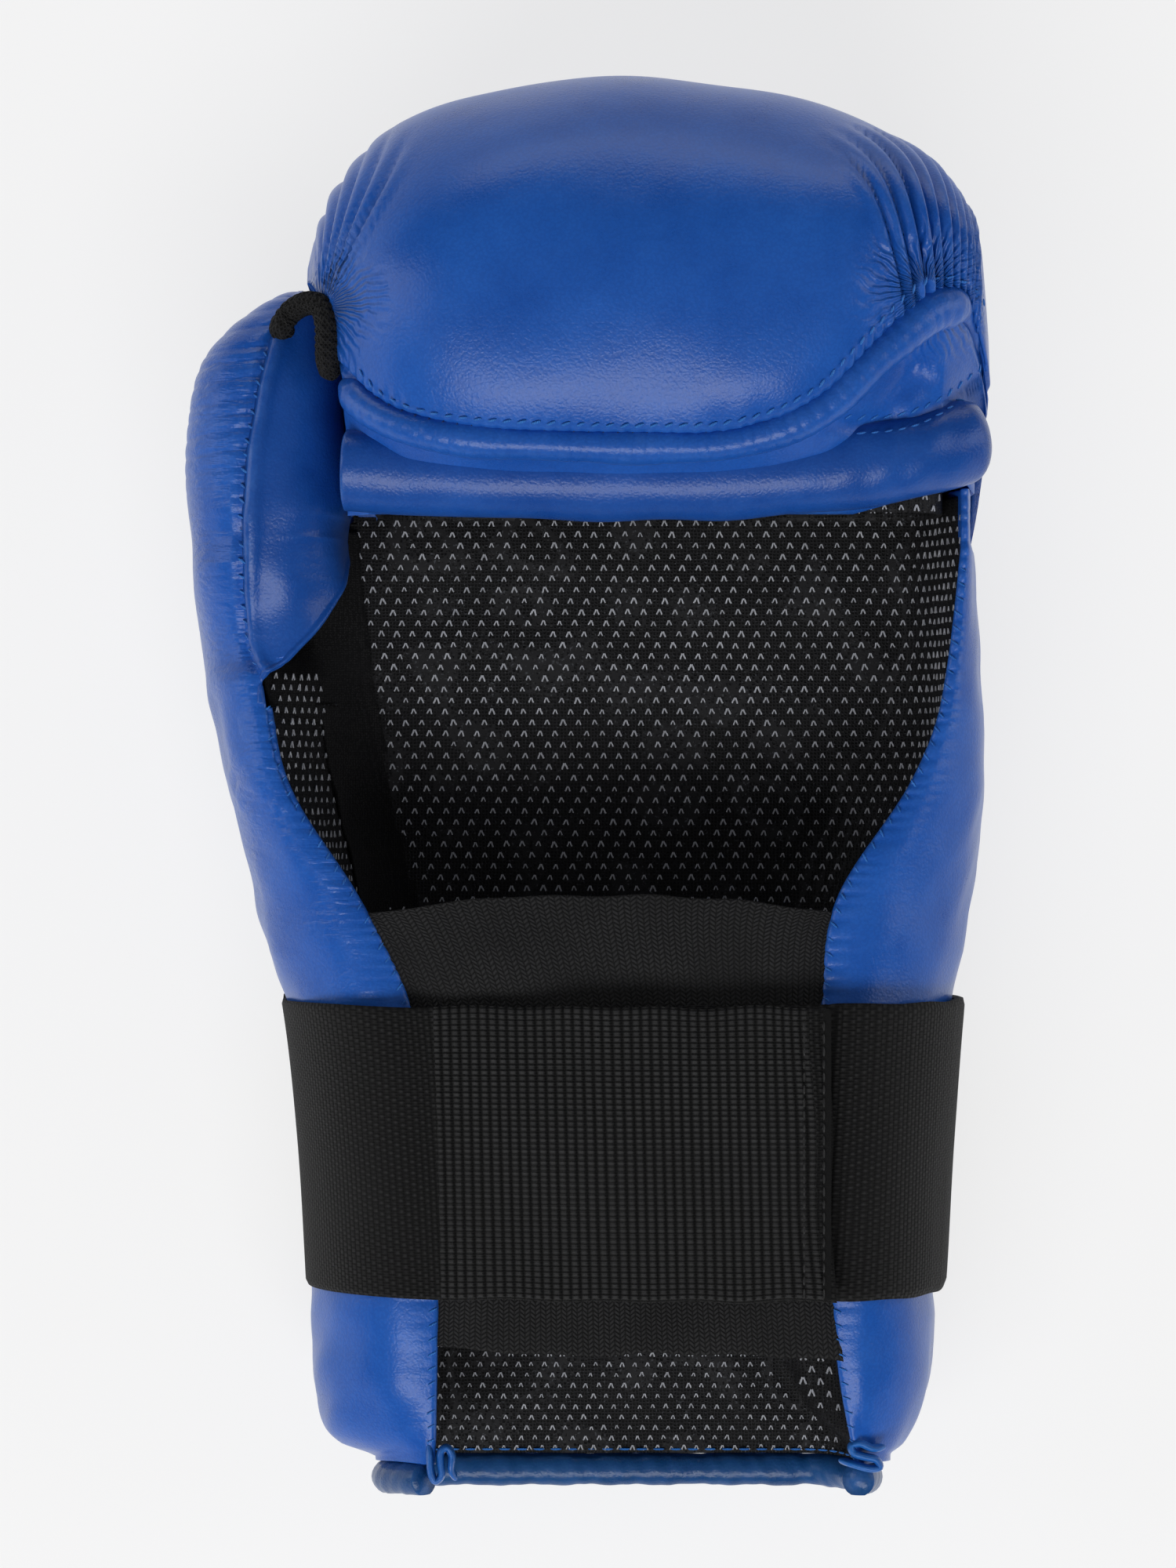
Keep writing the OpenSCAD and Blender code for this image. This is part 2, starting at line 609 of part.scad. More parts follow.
// Hollow for the thumb, open towards the palm through a slanted mouth
thumb_pocket_rows = [[0, 1], [web_y, 1], [52, 0.96], [66, 0.86], [73, 0.68], [77, 0.4]];
thumb_hole_x = (thumb_left + thumb_side) / 2 + 1.2;
thumb_hole_w = 8;
thumb_hole_h = 11.5;
thumb_hole_z = floor_z + 12.5;
module thumb_pocket(d) {
  skin([for (q = thumb_pocket_rows)
    power_oval(thumb_hole_x, q[0] + (q[1] < 1 ? d : 0), thumb_hole_z,
               thumb_hole_w * q[1] + d, thumb_hole_h * q[1] + d, 16, 2.4)]);
}
mouth_angle = 43;           // slant of the thumb's mouth, across the hand
module thumb_mouth(d) {
  translate([thumb_left + 11 - d, web_y + 1.5, thumb_hole_z - 4 - d])
    rotate([0, 0, mouth_angle]) translate([-far, -far, 0]) cube([2 * far, far + d, far]);
}
// Leather panel that faces the palm, right of the gathered seam
seam_x = thumb_left + 10.3;
module panel_zone(d) {
  translate([seam_x - d, 0, thumb_hole_z + 6 - d]) cube([far, thumb_tip - 2.5 + d, far]);
}
module thumb_layer(outer, inner) {
  difference() {
    thumb(outer);
    thumb(inner);
    thumb_pocket(thumb_lining_t + gap);
    thumb_mouth(0);
  }
}
module thumb_shell() {
  color(leather_blue) cut_mesh() difference() {
    thumb_layer(0, leather_t);
    panel_zone(gap);
  }
}
module thumb_panel() {
  color(leather_blue) cut_mesh() intersection() {
    thumb_layer(0, leather_t);
    panel_zone(0);
  }
}
module thumb_foam() {
  color(foam_grey) cut_mesh() difference() {
    thumb(leather_t + gap);
    thumb_pocket(thumb_lining_t + gap);
    thumb_mouth(0);
  }
}
module thumb_lining() {
  color(black) cut_mesh() difference() {
    intersection() {
      thumb_pocket(thumb_lining_t);
      translate([0, thumb_rows[0][0], 0]) translate([-far, 0, 0]) cube(far);
    }
    thumb_pocket(0);
    thumb_mouth(0);
  }
}

// ---- the tie between thumb and finger roll ----
// Hand-placed points from the thumb's tip over to the seam of the roll
tie_points = [
  [-54.6, 77.4, 54.5], [-53.8, 80.2, 53.8], [-52, 82.6, 55.2], [-49, 83.8, 58.4],
  [-46.4, 82.8, 61.6], [-45.5, 80, 63.4], [-45.4, 76.8, 63], [-45.4, 74, 61.4]
];
function tie_dir(i) =
  unit(tie_points[min(i + 1, len(tie_points) - 1)] - tie_points[max(i - 1, 0)]);
module thumb_tie() {
  color(black) skin([
    for (i = [0:len(tie_points) - 1])
      let (t = tie_dir(i), u = unit(cross(t, [0, 0.3, 1])), v = cross(t, u))
      [for (k = [0:7])
        tie_points[i] + (u * cos(45 * k) + v * sin(45 * k)) * tie_d / 2]
  ]);
}

hand_shell();
hand_foam();
hand_lining();
wrist_elastic();
cuff_binding();
binding_end_left();
binding_end_right();
strap_base();
loop_patch();
strap_stitch();
finger_shell();
finger_foam();
finger_lining();
finger_lip();
finger_facing();
finger_band();
band_core();
thumb_shell();
thumb_panel();
thumb_foam();
thumb_lining();
thumb_tie();
strap_tail();
hook_patch();
tail_hem();
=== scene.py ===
import math

import bmesh
import bpy
import numpy as np
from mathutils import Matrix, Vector
from mathutils.bvhtree import BVHTree


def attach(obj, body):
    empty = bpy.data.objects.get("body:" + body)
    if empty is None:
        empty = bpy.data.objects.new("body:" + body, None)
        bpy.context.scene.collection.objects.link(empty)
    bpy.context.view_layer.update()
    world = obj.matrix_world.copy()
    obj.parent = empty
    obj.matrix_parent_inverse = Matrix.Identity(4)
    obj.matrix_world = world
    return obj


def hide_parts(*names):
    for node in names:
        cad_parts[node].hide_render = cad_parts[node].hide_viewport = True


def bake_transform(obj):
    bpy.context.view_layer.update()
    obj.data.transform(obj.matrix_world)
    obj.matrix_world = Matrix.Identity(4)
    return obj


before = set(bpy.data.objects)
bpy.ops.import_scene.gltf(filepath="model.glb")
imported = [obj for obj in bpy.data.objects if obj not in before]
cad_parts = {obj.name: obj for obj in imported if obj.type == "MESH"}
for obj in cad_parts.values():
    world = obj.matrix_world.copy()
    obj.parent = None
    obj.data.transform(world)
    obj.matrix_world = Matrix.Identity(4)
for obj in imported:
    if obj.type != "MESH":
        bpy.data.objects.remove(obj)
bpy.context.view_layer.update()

MM = 0.001

# ---------------------------------------------------------------- sizes, in millimetres
CUFF_Y, WEB_Y, KNUCKLE_Y = -119.5, 18.0, 42.0
WRIST_LEFT, WRIST_RIGHT = 51.0, 63.0
PALM_LEFT, PALM_RIGHT = 64.5, 69.5
WRIST_H, PALM_H, FLOOR_Z, WRIST_LIFT = 57.0, 50.0, 22.5, 4.5
WALL_WRIST, WALL_RIGHT = 16.0, 8.0
MOUTH_LEFT, MOUTH_RIGHT = 27.0, 42.0
EDGE_T, LEATHER_T = 3.64, 1.3
GATHER = 2.6        # pitch of the puckers along a sewn rim
CORNER_R, RIM_DROP, ROUND_LEN = 26.0, 10.0, 17.0
ROLL_FRONT, ROLL_TOP = 86.0, 125.0
MOUTH_Y, MOUTH_Z, TURN_Z = 47.0, 59.0, 47.0
POCKET_END, POCKET_LEFT, POCKET_RIGHT = 101.0, -36.8, 61.5
POCKET_TOP = 56.5

# y, side, rim, rim height, floor corner, wall thickness: distances from the centre line
LEFT_ROWS = [
    (CUFF_Y, WRIST_LEFT - 4, MOUTH_LEFT + 1, WRIST_H - 6, 24, WALL_WRIST - 3),
    (-97, WRIST_LEFT - 2, MOUTH_LEFT + 0.5, WRIST_H - 2, 21, WALL_WRIST - 1),
    (-64, WRIST_LEFT, MOUTH_LEFT, WRIST_H, 22, WALL_WRIST),
    (-38, WRIST_LEFT + 3, MOUTH_LEFT + 5.2, WRIST_H, 28, WALL_WRIST),
    (-20, WRIST_LEFT + 7.5, MOUTH_LEFT + 14, WRIST_H - 1, 31, WALL_WRIST + 1),
    (0, PALM_LEFT, PALM_LEFT - 11, PALM_H + 3, 34, WALL_WRIST + 2),
    (WEB_Y, PALM_LEFT + 3.8, PALM_LEFT - 7, PALM_H, 38, WALL_WRIST + 3),
    (KNUCKLE_Y, PALM_LEFT + 6.2, PALM_LEFT - 2, PALM_H, 42, WALL_WRIST + 3),
]
RIGHT_ROWS = [
    (CUFF_Y, WRIST_RIGHT - 5, MOUTH_RIGHT + 5, WRIST_H - 6, 38, WALL_WRIST - 5),
    (-97, WRIST_RIGHT - 2, MOUTH_RIGHT + 2, WRIST_H - 2, 33, WALL_WRIST - 2),
    (-64, WRIST_RIGHT, MOUTH_RIGHT - 0.5, WRIST_H, 32, WALL_WRIST),
    (-38, WRIST_RIGHT + 2, MOUTH_RIGHT - 0.5, WRIST_H, 32, WALL_WRIST),
    (-20, WRIST_RIGHT + 4, MOUTH_RIGHT + 2.4, WRIST_H - 1, 34.5, WALL_WRIST),
    (0, PALM_RIGHT, PALM_RIGHT - 12.5, PALM_H + 3, 43, WALL_RIGHT + 4),
    (14, PALM_RIGHT + 0.5, PALM_RIGHT - 7, PALM_H + 1, 52, WALL_RIGHT + 1),
    (KNUCKLE_Y, PALM_RIGHT - 0.8, PALM_RIGHT - 3, PALM_H, 57, WALL_RIGHT - 1),
]
# x, furthest y, front height, underside at the flex line, start, top of wall, lip y, lip z
ROLL_ROWS = [
    (-49.6, 92, 45, 30, KNUCKLE_Y + 30, 44, 76, 46),
    (-48, 98.6, 55, 14, KNUCKLE_Y, 47, 74, 50),
    (-44, 107.3, 65, 3, KNUCKLE_Y, 49, 70.8, 59),
    (-38, 114.2, 74, 0, KNUCKLE_Y, PALM_H, 64.4, 67),
    (-31, 118.0, 80, 0, KNUCKLE_Y, PALM_H, 60.8, 71.5),
    (-21, 121.2, 84, 0, KNUCKLE_Y, PALM_H, 58.8, 74),
    (-7, 123.9, ROLL_FRONT, 0, KNUCKLE_Y, PALM_H, 57.9, 75),
    (10, ROLL_TOP, ROLL_FRONT, 0, KNUCKLE_Y, PALM_H, 57.5, 75),
    (26, 123.4, ROLL_FRONT, 0, KNUCKLE_Y, PALM_H, 58.4, 75),
    (40, 119.9, 84.6, 0, KNUCKLE_Y, PALM_H, 64, 75),
    (51, 115.6, 81.5, 0.8, KNUCKLE_Y, PALM_H, 75, 73.5),
    (59, 110.2, 77, 3.2, KNUCKLE_Y, PALM_H, 82.6, 69.5),
    (65, 102.8, 69.5, 8, KNUCKLE_Y, PALM_H - 1, 82.2, 61.5),
    (68.8, 97, 59, 22, KNUCKLE_Y, 36, 74.5, 51),
    (70.5, 82, 47, 34, KNUCKLE_Y + 16, 42, 66, 45),
]
# x, y, z of the middle of the band under the mouth's edge
BAND_ROWS = [
    (-43, 55.6, 60), (-21, 54.3, 62.5), (6, 53.8, 63), (28, 54.2, 63),
    (46, 56, 62), (58, 58.3, 59.5), (65, 60.6, 56), (69, 63, 52),
]


# ---------------------------------------------------------------- curves
def smooth(rows, q, k):
    """Column k of a table at q, on one smooth curve through its rows."""
    xs = np.array([r[0] for r in rows], float)
    ys = np.array([r[k] for r in rows], float)
    slope = np.empty_like(ys)
    slope[1:-1] = (ys[2:] - ys[:-2]) / (xs[2:] - xs[:-2])
    slope[0] = (ys[1] - ys[0]) / (xs[1] - xs[0])
    slope[-1] = (ys[-1] - ys[-2]) / (xs[-1] - xs[-2])
    q = np.clip(np.asarray(q, float), xs[0], xs[-1])
    i = np.clip(np.searchsorted(xs, q, side="right") - 1, 0, len(xs) - 2)
    w = xs[i + 1] - xs[i]
    t = (q - xs[i]) / w
    return bezier(ys[i], ys[i] + slope[i] * w / 3, ys[i + 1] - slope[i + 1] * w / 3, ys[i + 1], t)


def bezier(a, b, c, d, t):
    s = 1 - t
    return a * s**3 + b * 3 * s * s * t + c * 3 * s * t * t + d * t**3


def step(t, a=0.0, b=1.0):
    """0 before a, 1 after b, and smooth between."""
    t = np.clip((np.asarray(t, float) - a) / (b - a), 0, 1)
    return t * t * (3 - 2 * t)


def between(t, a, b, c, d):
    """Rises from 0 to 1 from a to b, and falls to 0 again from c to d."""
    return step(t, a, b) * (1 - step(t, c, d))


def spans(ends, counts):
    """Places from end to end, with a count of its own for each stretch."""
    parts = [np.linspace(a, b, n) for a, b, n in zip(ends, ends[1:], counts)]
    return np.concatenate([part[:-1] for part in parts[:-1]] + parts[-1:])


def mix(a, b, t):
    return a + (b - a) * t


def pair(x, z):
    return np.stack(np.broadcast_arrays(x, z), -1)


def unit(v):
    return v / np.maximum(np.linalg.norm(v, axis=-1, keepdims=True), 1e-9)


def section_normals(curves):
    """Unit normals in XZ of sections that run along axis 1."""
    return unit(np.stack([-np.gradient(curves[..., 1], axis=1), np.gradient(curves[..., 0], axis=1)], -1))


def oval_point(angle, k):
    """Point of a unit oval at an angle: 1 for k gives a circle, and less than 1 a rounded box."""
    c, s = np.cos(angle), np.sin(angle)
    return np.sign(c) * abs(c) ** k, np.sign(s) * abs(s) ** k


def waves(p, scale, seed, n=9):
    """Smooth irregular noise in about -1..1, from a few plane waves."""
    r = np.random.default_rng(seed)
    out = 0
    for _ in range(n):
        k = unit(r.normal(size=p.shape[-1])) * r.uniform(0.5, 1.6) / scale
        out = out + np.sin(p @ k * 2 * math.pi + r.uniform(0, 6.28))
    return out / math.sqrt(n)


def path_length(p):
    return np.concatenate([[0], np.cumsum(np.linalg.norm(np.diff(p, axis=0), axis=1))])


def lengths_across(rows):
    """How far each point is from the first one of its row, for many rows at once."""
    d = np.cumsum(np.linalg.norm(np.diff(rows, axis=1), axis=2), 1)
    return np.concatenate([np.zeros((len(rows), 1)), d], 1)


def sample(p, s, q):
    """Points of a path at q, where s says how far along it each of its points is."""
    return np.stack([np.interp(q, s, p[:, k]) for k in range(p.shape[1])], 1)


def resample(p, count):
    s = path_length(p)
    return sample(p, s, np.linspace(0, s[-1], count))


def circle(count):
    """Angles all round."""
    return np.linspace(0, 2 * math.pi, count, endpoint=False)


def rounded(s, length, least, first=None):
    """Share of the full size at each place along a path whose ends are rounded off over a length."""
    return np.sqrt(np.clip(np.minimum(s / (first or length), (s[-1] - s) / length), least, 1))


def lifted(xy, z):
    """Points in XY, all at one height."""
    return np.column_stack([xy, np.full(len(xy), z)])


def curve_through(points, count):
    """Evenly spaced points on a smooth curve through given ones."""
    p = np.asarray(points, float)
    s = path_length(p)
    rows = [(s[i], *p[i]) for i in range(len(p))]
    q = np.linspace(0, s[-1], count * 4)
    return resample(np.stack([smooth(rows, q, k + 1) for k in range(p.shape[1])], 1), count)


# ---------------------------------------------------------------- meshes
def add_object(name, data):
    obj = bpy.data.objects.new(name, data)
    bpy.context.collection.objects.link(obj)
    return obj


def make(name, verts, faces, material, smooth_faces=True):
    """A piece from points in millimetres."""
    verts = np.asarray(verts, float) * MM
    verts[:, 2] = np.maximum(verts[:, 2], 0)  # nothing sinks under the floor
    mesh = bpy.data.meshes.new(name)
    mesh.from_pydata(verts.tolist(), [], faces)
    mesh.update()
    obj = add_object(name, mesh)
    if smooth_faces:
        mesh.polygons.foreach_set("use_smooth", [True] * len(mesh.polygons))
    mesh.materials.append(material)
    outward(obj)
    return obj


def outward(obj):
    bm = bmesh.new()
    bm.from_mesh(obj.data)
    bmesh.ops.recalc_face_normals(bm, faces=bm.faces)
    if bm.calc_volume(signed=True) < 0:
        bmesh.ops.reverse_faces(bm, faces=bm.faces)
    bm.to_mesh(obj.data)
    bm.free()


def loft(rings, fold=None, hollow=False):
    """Faces that join rings of equal length: rings is (rings, points, 3). Where the ring is a folded
    strip, fold is the sum of two facing points' places, and the ends close from side to side. A hollow
    loft is an open bag: its rings go out along one face of the wall and back along the other."""
    n, m = rings.shape[:2]
    faces = []
    for r in range(n - 1):
        a, b = r * m, (r + 1) * m
        faces += [(a + i, a + (i + 1) % m, b + (i + 1) % m, b + i) for i in range(m)]
    verts = rings.reshape(-1, 3)
    if hollow:
        last = (n - 1) * m
        faces += [(last + i, last + (i + 1) % m, (i + 1) % m, i) for i in range(m)]
    elif fold:
        i, j, left = (fold + 1) // 2, (fold + 1) // 2 - 1, m - 2
        while left >= 2:
            quad = (i % m, (i + 1) % m, (j - 1) % m, j % m)
            faces += [quad[::-1], tuple((n - 1) * m + k for k in quad)]
            i, j, left = i + 1, j - 1, left - 2
    else:
        verts = np.vstack([verts, rings[0].mean(0), rings[-1].mean(0)])
        k = n * m
        faces += [(k, (i + 1) % m, i) for i in range(m)]
        faces += [(k + 1, (n - 1) * m + i, (n - 1) * m + (i + 1) % m) for i in range(m)]
    return verts, faces


def tube(path, a, b, sides=16, up=(0, 0, 1)):
    """Rings across a path: a is the half-width across up, b the half-width along up."""
    path = np.asarray(path, float)
    t = unit(np.gradient(path, axis=0))
    up = np.broadcast_to(np.asarray(up, float), path.shape)
    side = unit(np.cross(t, up))
    top = unit(np.cross(side, t))
    ang = circle(sides)
    a = np.broadcast_to(np.asarray(a, float), len(path))[:, None, None]
    b = np.broadcast_to(np.asarray(b, float), len(path))[:, None, None]
    return (path[:, None] + side[:, None] * a * np.cos(ang)[None, :, None]
            + top[:, None] * b * np.sin(ang)[None, :, None])


def pushed(rings, push):
    """Rings with their points moved out from each ring's middle."""
    return rings + unit(rings - rings.mean(1, keepdims=True)) * push[..., None]


def sheet(top, thick):
    """Closed sheet from a grid of points on its upper face: rows by columns by 3."""
    low = top - unit(np.cross(np.gradient(top, axis=1), np.gradient(top, axis=0))) * thick
    return loft(np.concatenate([top, low[:, ::-1]], 1), fold=2 * top.shape[1] - 1)


def attribute(obj, name, values):
    """Sets a number on every vertex: values has one for each, or is one for all."""
    data = obj.data.attributes.new(name, "FLOAT", "POINT").data
    data.foreach_set("value", np.full(len(data), values) if np.isscalar(values) else np.ravel(values)[:len(data)])


def uv_from_vertices(obj, uv):
    layer = obj.data.uv_layers.new(name="UVMap")
    index = np.empty(len(obj.data.loops), int)
    obj.data.loops.foreach_get("vertex_index", index)
    layer.data.foreach_set("uv", np.asarray(uv, float)[index].ravel())


def sheet_uv(obj, u, v):
    """UV for a sheet whose rows lie at v and whose columns lie at u, in millimetres, on both faces."""
    uv = np.stack(np.broadcast_arrays(u[None], v[:, None]), -1)
    uv_from_vertices(obj, np.vstack([np.concatenate([uv, uv[:, ::-1]], 1).reshape(-1, 2), [[0, 0], [0, 0]]]))


# ---------------------------------------------------------------- the hand tray
HALF = 34           # points on each wall of the tray's section
BOTTOM = 22         # points across its flat back


def wall(s, y, rows):
    """Outer and inner curves of one wall in XZ, from its rim down, for every y."""
    col = lambda k: smooth(rows, y, k)[:, None]
    lift = np.interp(y, [CUFF_Y, -38, -20, KNUCKLE_Y], [WRIST_LIFT, WRIST_LIFT, 0, 0])[:, None]
    side, height = s * col(1), col(3)
    rim = s * col(2)
    reach, mid = side - rim, 0.46 * height
    base = side - s * CORNER_R
    t = np.linspace(0, 1, HALF // 2)[None]
    x = [bezier(rim, rim + 0.4 * reach, side, side, t), bezier(side, side, base + s * CORNER_R * 0.55, base, t)]
    z = [bezier(height, height + 0.18 * abs(reach), mid + 0.7 * (height - mid), mid, t),
         bezier(mid, mix(mid, lift, 0.6), lift, lift, t)]
    outer = pair(np.hstack([x[0], x[1][:, 1:]]), np.hstack([z[0], z[1][:, 1:]]))
    corner = s * col(4)
    middle = s * (col(1) - col(5))
    bulge = (8 * middle - rim - corner) / 6
    t = np.linspace(0, 1, HALF - 1)[None]
    low = height - EDGE_T
    inner = pair(bezier(rim, bulge, bulge, corner, t), bezier(low, low - RIM_DROP, FLOOR_Z, FLOOR_Z, t))
    return outer, inner


def across(left, right):
    """Joins the curves of two walls by straight lines between their last points."""
    t = np.linspace(0, 1, BOTTOM + 2)[1:-1][None, :, None]
    return np.concatenate([left, mix(left[:, -1:], right[:, -1:], t), right[:, ::-1]], 1)


def tray(y):
    """Outer and inner curves of the whole tray at every y, as (y, point, xz)."""
    (lo, li), (ro, ri) = wall(-1, y, LEFT_ROWS), wall(1, y, RIGHT_ROWS)
    outer, inner = across(lo, ro), across(li, ri)
    t = np.clip((ROUND_LEN + CUFF_Y - y) / ROUND_LEN, 0, 1)
    d = np.linalg.norm(outer - inner, axis=2)
    full = np.maximum(EDGE_T, d * np.sqrt(1 - t * t)[:, None])
    return inner + (outer - inner) / d[..., None] * full[..., None], inner


def at_y(curve, y):
    """Points in space from sections in XZ, each at its own y."""
    return np.stack([curve[..., 0], np.broadcast_to(y[:, None], curve.shape[:2]), curve[..., 1]], -1)


def lean(points):
    """Draws the low part of the cuff's end further out, as its weight pulls it."""
    points = points.copy()
    share = (1 - step(points[..., 2], 26, 50)) * step(-points[..., 1], 100, 119)
    points[..., 1] -= 1.7 * share
    return points


# y, how far the padded walls bulge further at the left, at the right
FULLER = [
    (-119.5, 1.5, 2.6), (-118, 3.8, 2.9), (-116, 3.9, 2.6), (-113, 3.1, 2.4), (-110, 2.3, 2.1), (-105, 1.5, 1.6),
    (-100, 1.0, 1.4), (-95, 0.9, 1.0), (-89, 0.5, 0.0), (-86, 0, 0), (-42, 0, 0), (-37, 0.9, 0.5), (-30, 2.0, 1.6),
    (-20, 1.5, 2.0), (-10, 0.9, 2.2), (0, 0.2, 1.9), (10, 0, 1.3), (20, 0.4, 0.7), (34, 0.7, 0.5), (44, 0.5, 0),
]


def fuller(points):
    """Lets the padded side walls bulge between rim and back."""
    points = points.copy()
    x, y, z = points[..., 0], points[..., 1], points[..., 2]
    rows = np.array(FULLER)
    amount = np.where(x > 0, np.interp(y, rows[:, 0], rows[:, 2]), -np.interp(y, rows[:, 0], rows[:, 1]))
    points[..., 0] += amount * step(np.abs(x), 32, 44) * step(z, 1, 14) * (1 - step(z, 42, 55))
    return points


def beside_thumb(curves, y, end):
    """Ends the left wall's curves where the thumb begins: the first points gather at a plane."""
    curves = curves.copy()
    for row, limit in zip(curves, mix(-90, end, step(y, 11.5, 15))):
        if row[0, 0] < limit:
            first = int(np.argmax(row[:, 0] >= limit))
            a, b = row[first - 1], row[first]
            row[:first] = mix(a, b, (limit - a[0]) / max(b[0] - a[0], 1e-6))
    return curves


def above(curve, height):
    """The part of a rising curve above a height, with a first point just there."""
    first = int(np.argmax(curve[:, 1] > height))
    a, b = curve[max(first - 1, 0)], curve[first]
    start = mix(a, b, (height - a[1]) / max(b[1] - a[1], 1e-6))
    return np.vstack([start, curve[first:]])


def bead(outer, inner, s, proud=1.1, n=6):
    """Rolled rim that joins the outer curve's first point to the inner one's."""
    a, b = (outer[:, 0], inner[:, 0]) if s < 0 else (outer[:, -1], inner[:, -1])
    mid, half = (a + b) / 2, np.linalg.norm(a - b, axis=1)[:, None] / 2
    ang = np.linspace(0, math.pi, n + 2)[1:-1]
    down = unit(b - a)
    inward = np.array([-s, 0.0])
    return np.stack([mid - down * half * math.cos(q) + inward * proud * math.sin(q) for q in ang], 1)


def gathers(along, pitch, sharp=0.7):
    """Height of small puckers that repeat along a seam."""
    return np.abs(np.sin(math.pi * along / pitch)) ** sharp - 0.62


def hand_leather(material):
    y = np.concatenate([np.linspace(CUFF_Y, -102, 50), np.linspace(-101.6, 52, 360)])
    outer, inner = tray(np.minimum(y, KNUCKLE_Y))
    inner = inner + unit(outer - inner) * LEATHER_T
    for s in (-1, 1):
        k = slice(0, HALF - 1) if s < 0 else slice(-(HALF - 1), None)
        wall_pts = outer[:, k] if s < 0 else outer[:, k][:, ::-1]
        d = lengths_across(wall_pts)
        rim_line = np.stack([wall_pts[:, 0, 0], y, wall_pts[:, 0, 1]], 1)
        along = path_length(rim_line)
        uneven = along + 0.7 * waves(rim_line, 9, 3)
        fade = np.exp(-d / 2.6)
        puck = gathers(uneven, GATHER)[:, None] * fade * (0.42 * mix(0.2, 1, step(y, -97, -88)))[:, None]
        soft = waves(pair(y[:, None], d), 16, 5 + s, 7) * 0.22
        normal = unit(wall_pts - inner[:, k if s < 0 else slice(-1, -HALF, -1)][:, :HALF - 1])
        push = puck + soft * np.minimum(d / 6, 1)
        moved = wall_pts + normal * push[..., None]
        outer[:, k] = moved if s < 0 else moved[:, ::-1]
    outer, inner = (beside_thumb(c, y, -42.9) for c in (outer, inner))
    # The end that the roll covers sits a little inside it
    tuck = step(y, 41, 43)[:, None, None] * 0.5
    outer -= unit(outer - inner) * tuck
    left, right = bead(outer, inner, -1), bead(outer, inner, 1)
    ring = np.concatenate([outer, right, inner[:, ::-1], left[:, ::-1]], 1)
    fold = 2 * outer.shape[1] + right.shape[1] - 1
    obj = make("hand_leather", *loft(fuller(lean(at_y(ring, y))), fold=fold), material)
    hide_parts("hand_shell", "hand_foam")
    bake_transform(obj)
    return obj


# y and x of the edge of the fold in the cuff's lining, and how high it stands over the floor
CUFF_FOLD = [-119.5, -116.1, -113.4, -107.6, -98.1, -90], [48.0, 46.0, 41.5, 37.3, 33.6, 32.5]
FOLD_RISE = 4.6


def hand_lining(material):
    y = np.linspace(CUFF_Y + 0.2, 51, 250)
    inner = beside_thumb(tray(np.minimum(y, KNUCKLE_Y))[1], y, -42.6)
    grid = lean(at_y(inner, y))
    n = grid.shape[1]
    u = np.arange(n)
    wrinkle = waves(grid[..., :2], 22, 21, 8) * 0.25
    grid[..., 2] += wrinkle * np.minimum(np.minimum(u, n - 1 - u) / 12, 1)[None]
    # In the cuff the cloth of the right wall folds over the floor's
    x, z = grid[..., 0], grid[..., 2]
    edge = np.interp(y, CUFF_FOLD[0], CUFF_FOLD[1])[:, None]
    low = (1 - step(z, 33, 44)) * step(-y, 84, 92)[:, None]
    grid[..., 2] += low * (FOLD_RISE * step(x, edge, edge + 1.4) - 0.5 * np.exp(-((x - edge + 1.2) / 1.6) ** 2))
    obj = make("hand_lining_mesh", *sheet(grid, 0.9), material)
    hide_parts("hand_lining")
    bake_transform(obj)
    return obj


# ---------------------------------------------------------------- the finger roll
ROLL_MID, ROLL_HALF = 10.5, 60.0
LIP_LEFT, LIP_RIGHT = -42.6, 68.2       # the lip's ends, in the rows' own x
PLEAT = 2.5         # pitch of the seam's stitches, and of the pleats that rise between them
FOOT_POINTS, ARC_POINTS = 8, 29         # points of the section along its foot, and along each of its three arcs
ROWS_HALF = (ROLL_ROWS[-1][0] - ROLL_ROWS[0][0]) / 2


def squeeze(x):
    return ROLL_MID + (x - ROLL_MID) * ROLL_HALF / ROWS_HALF


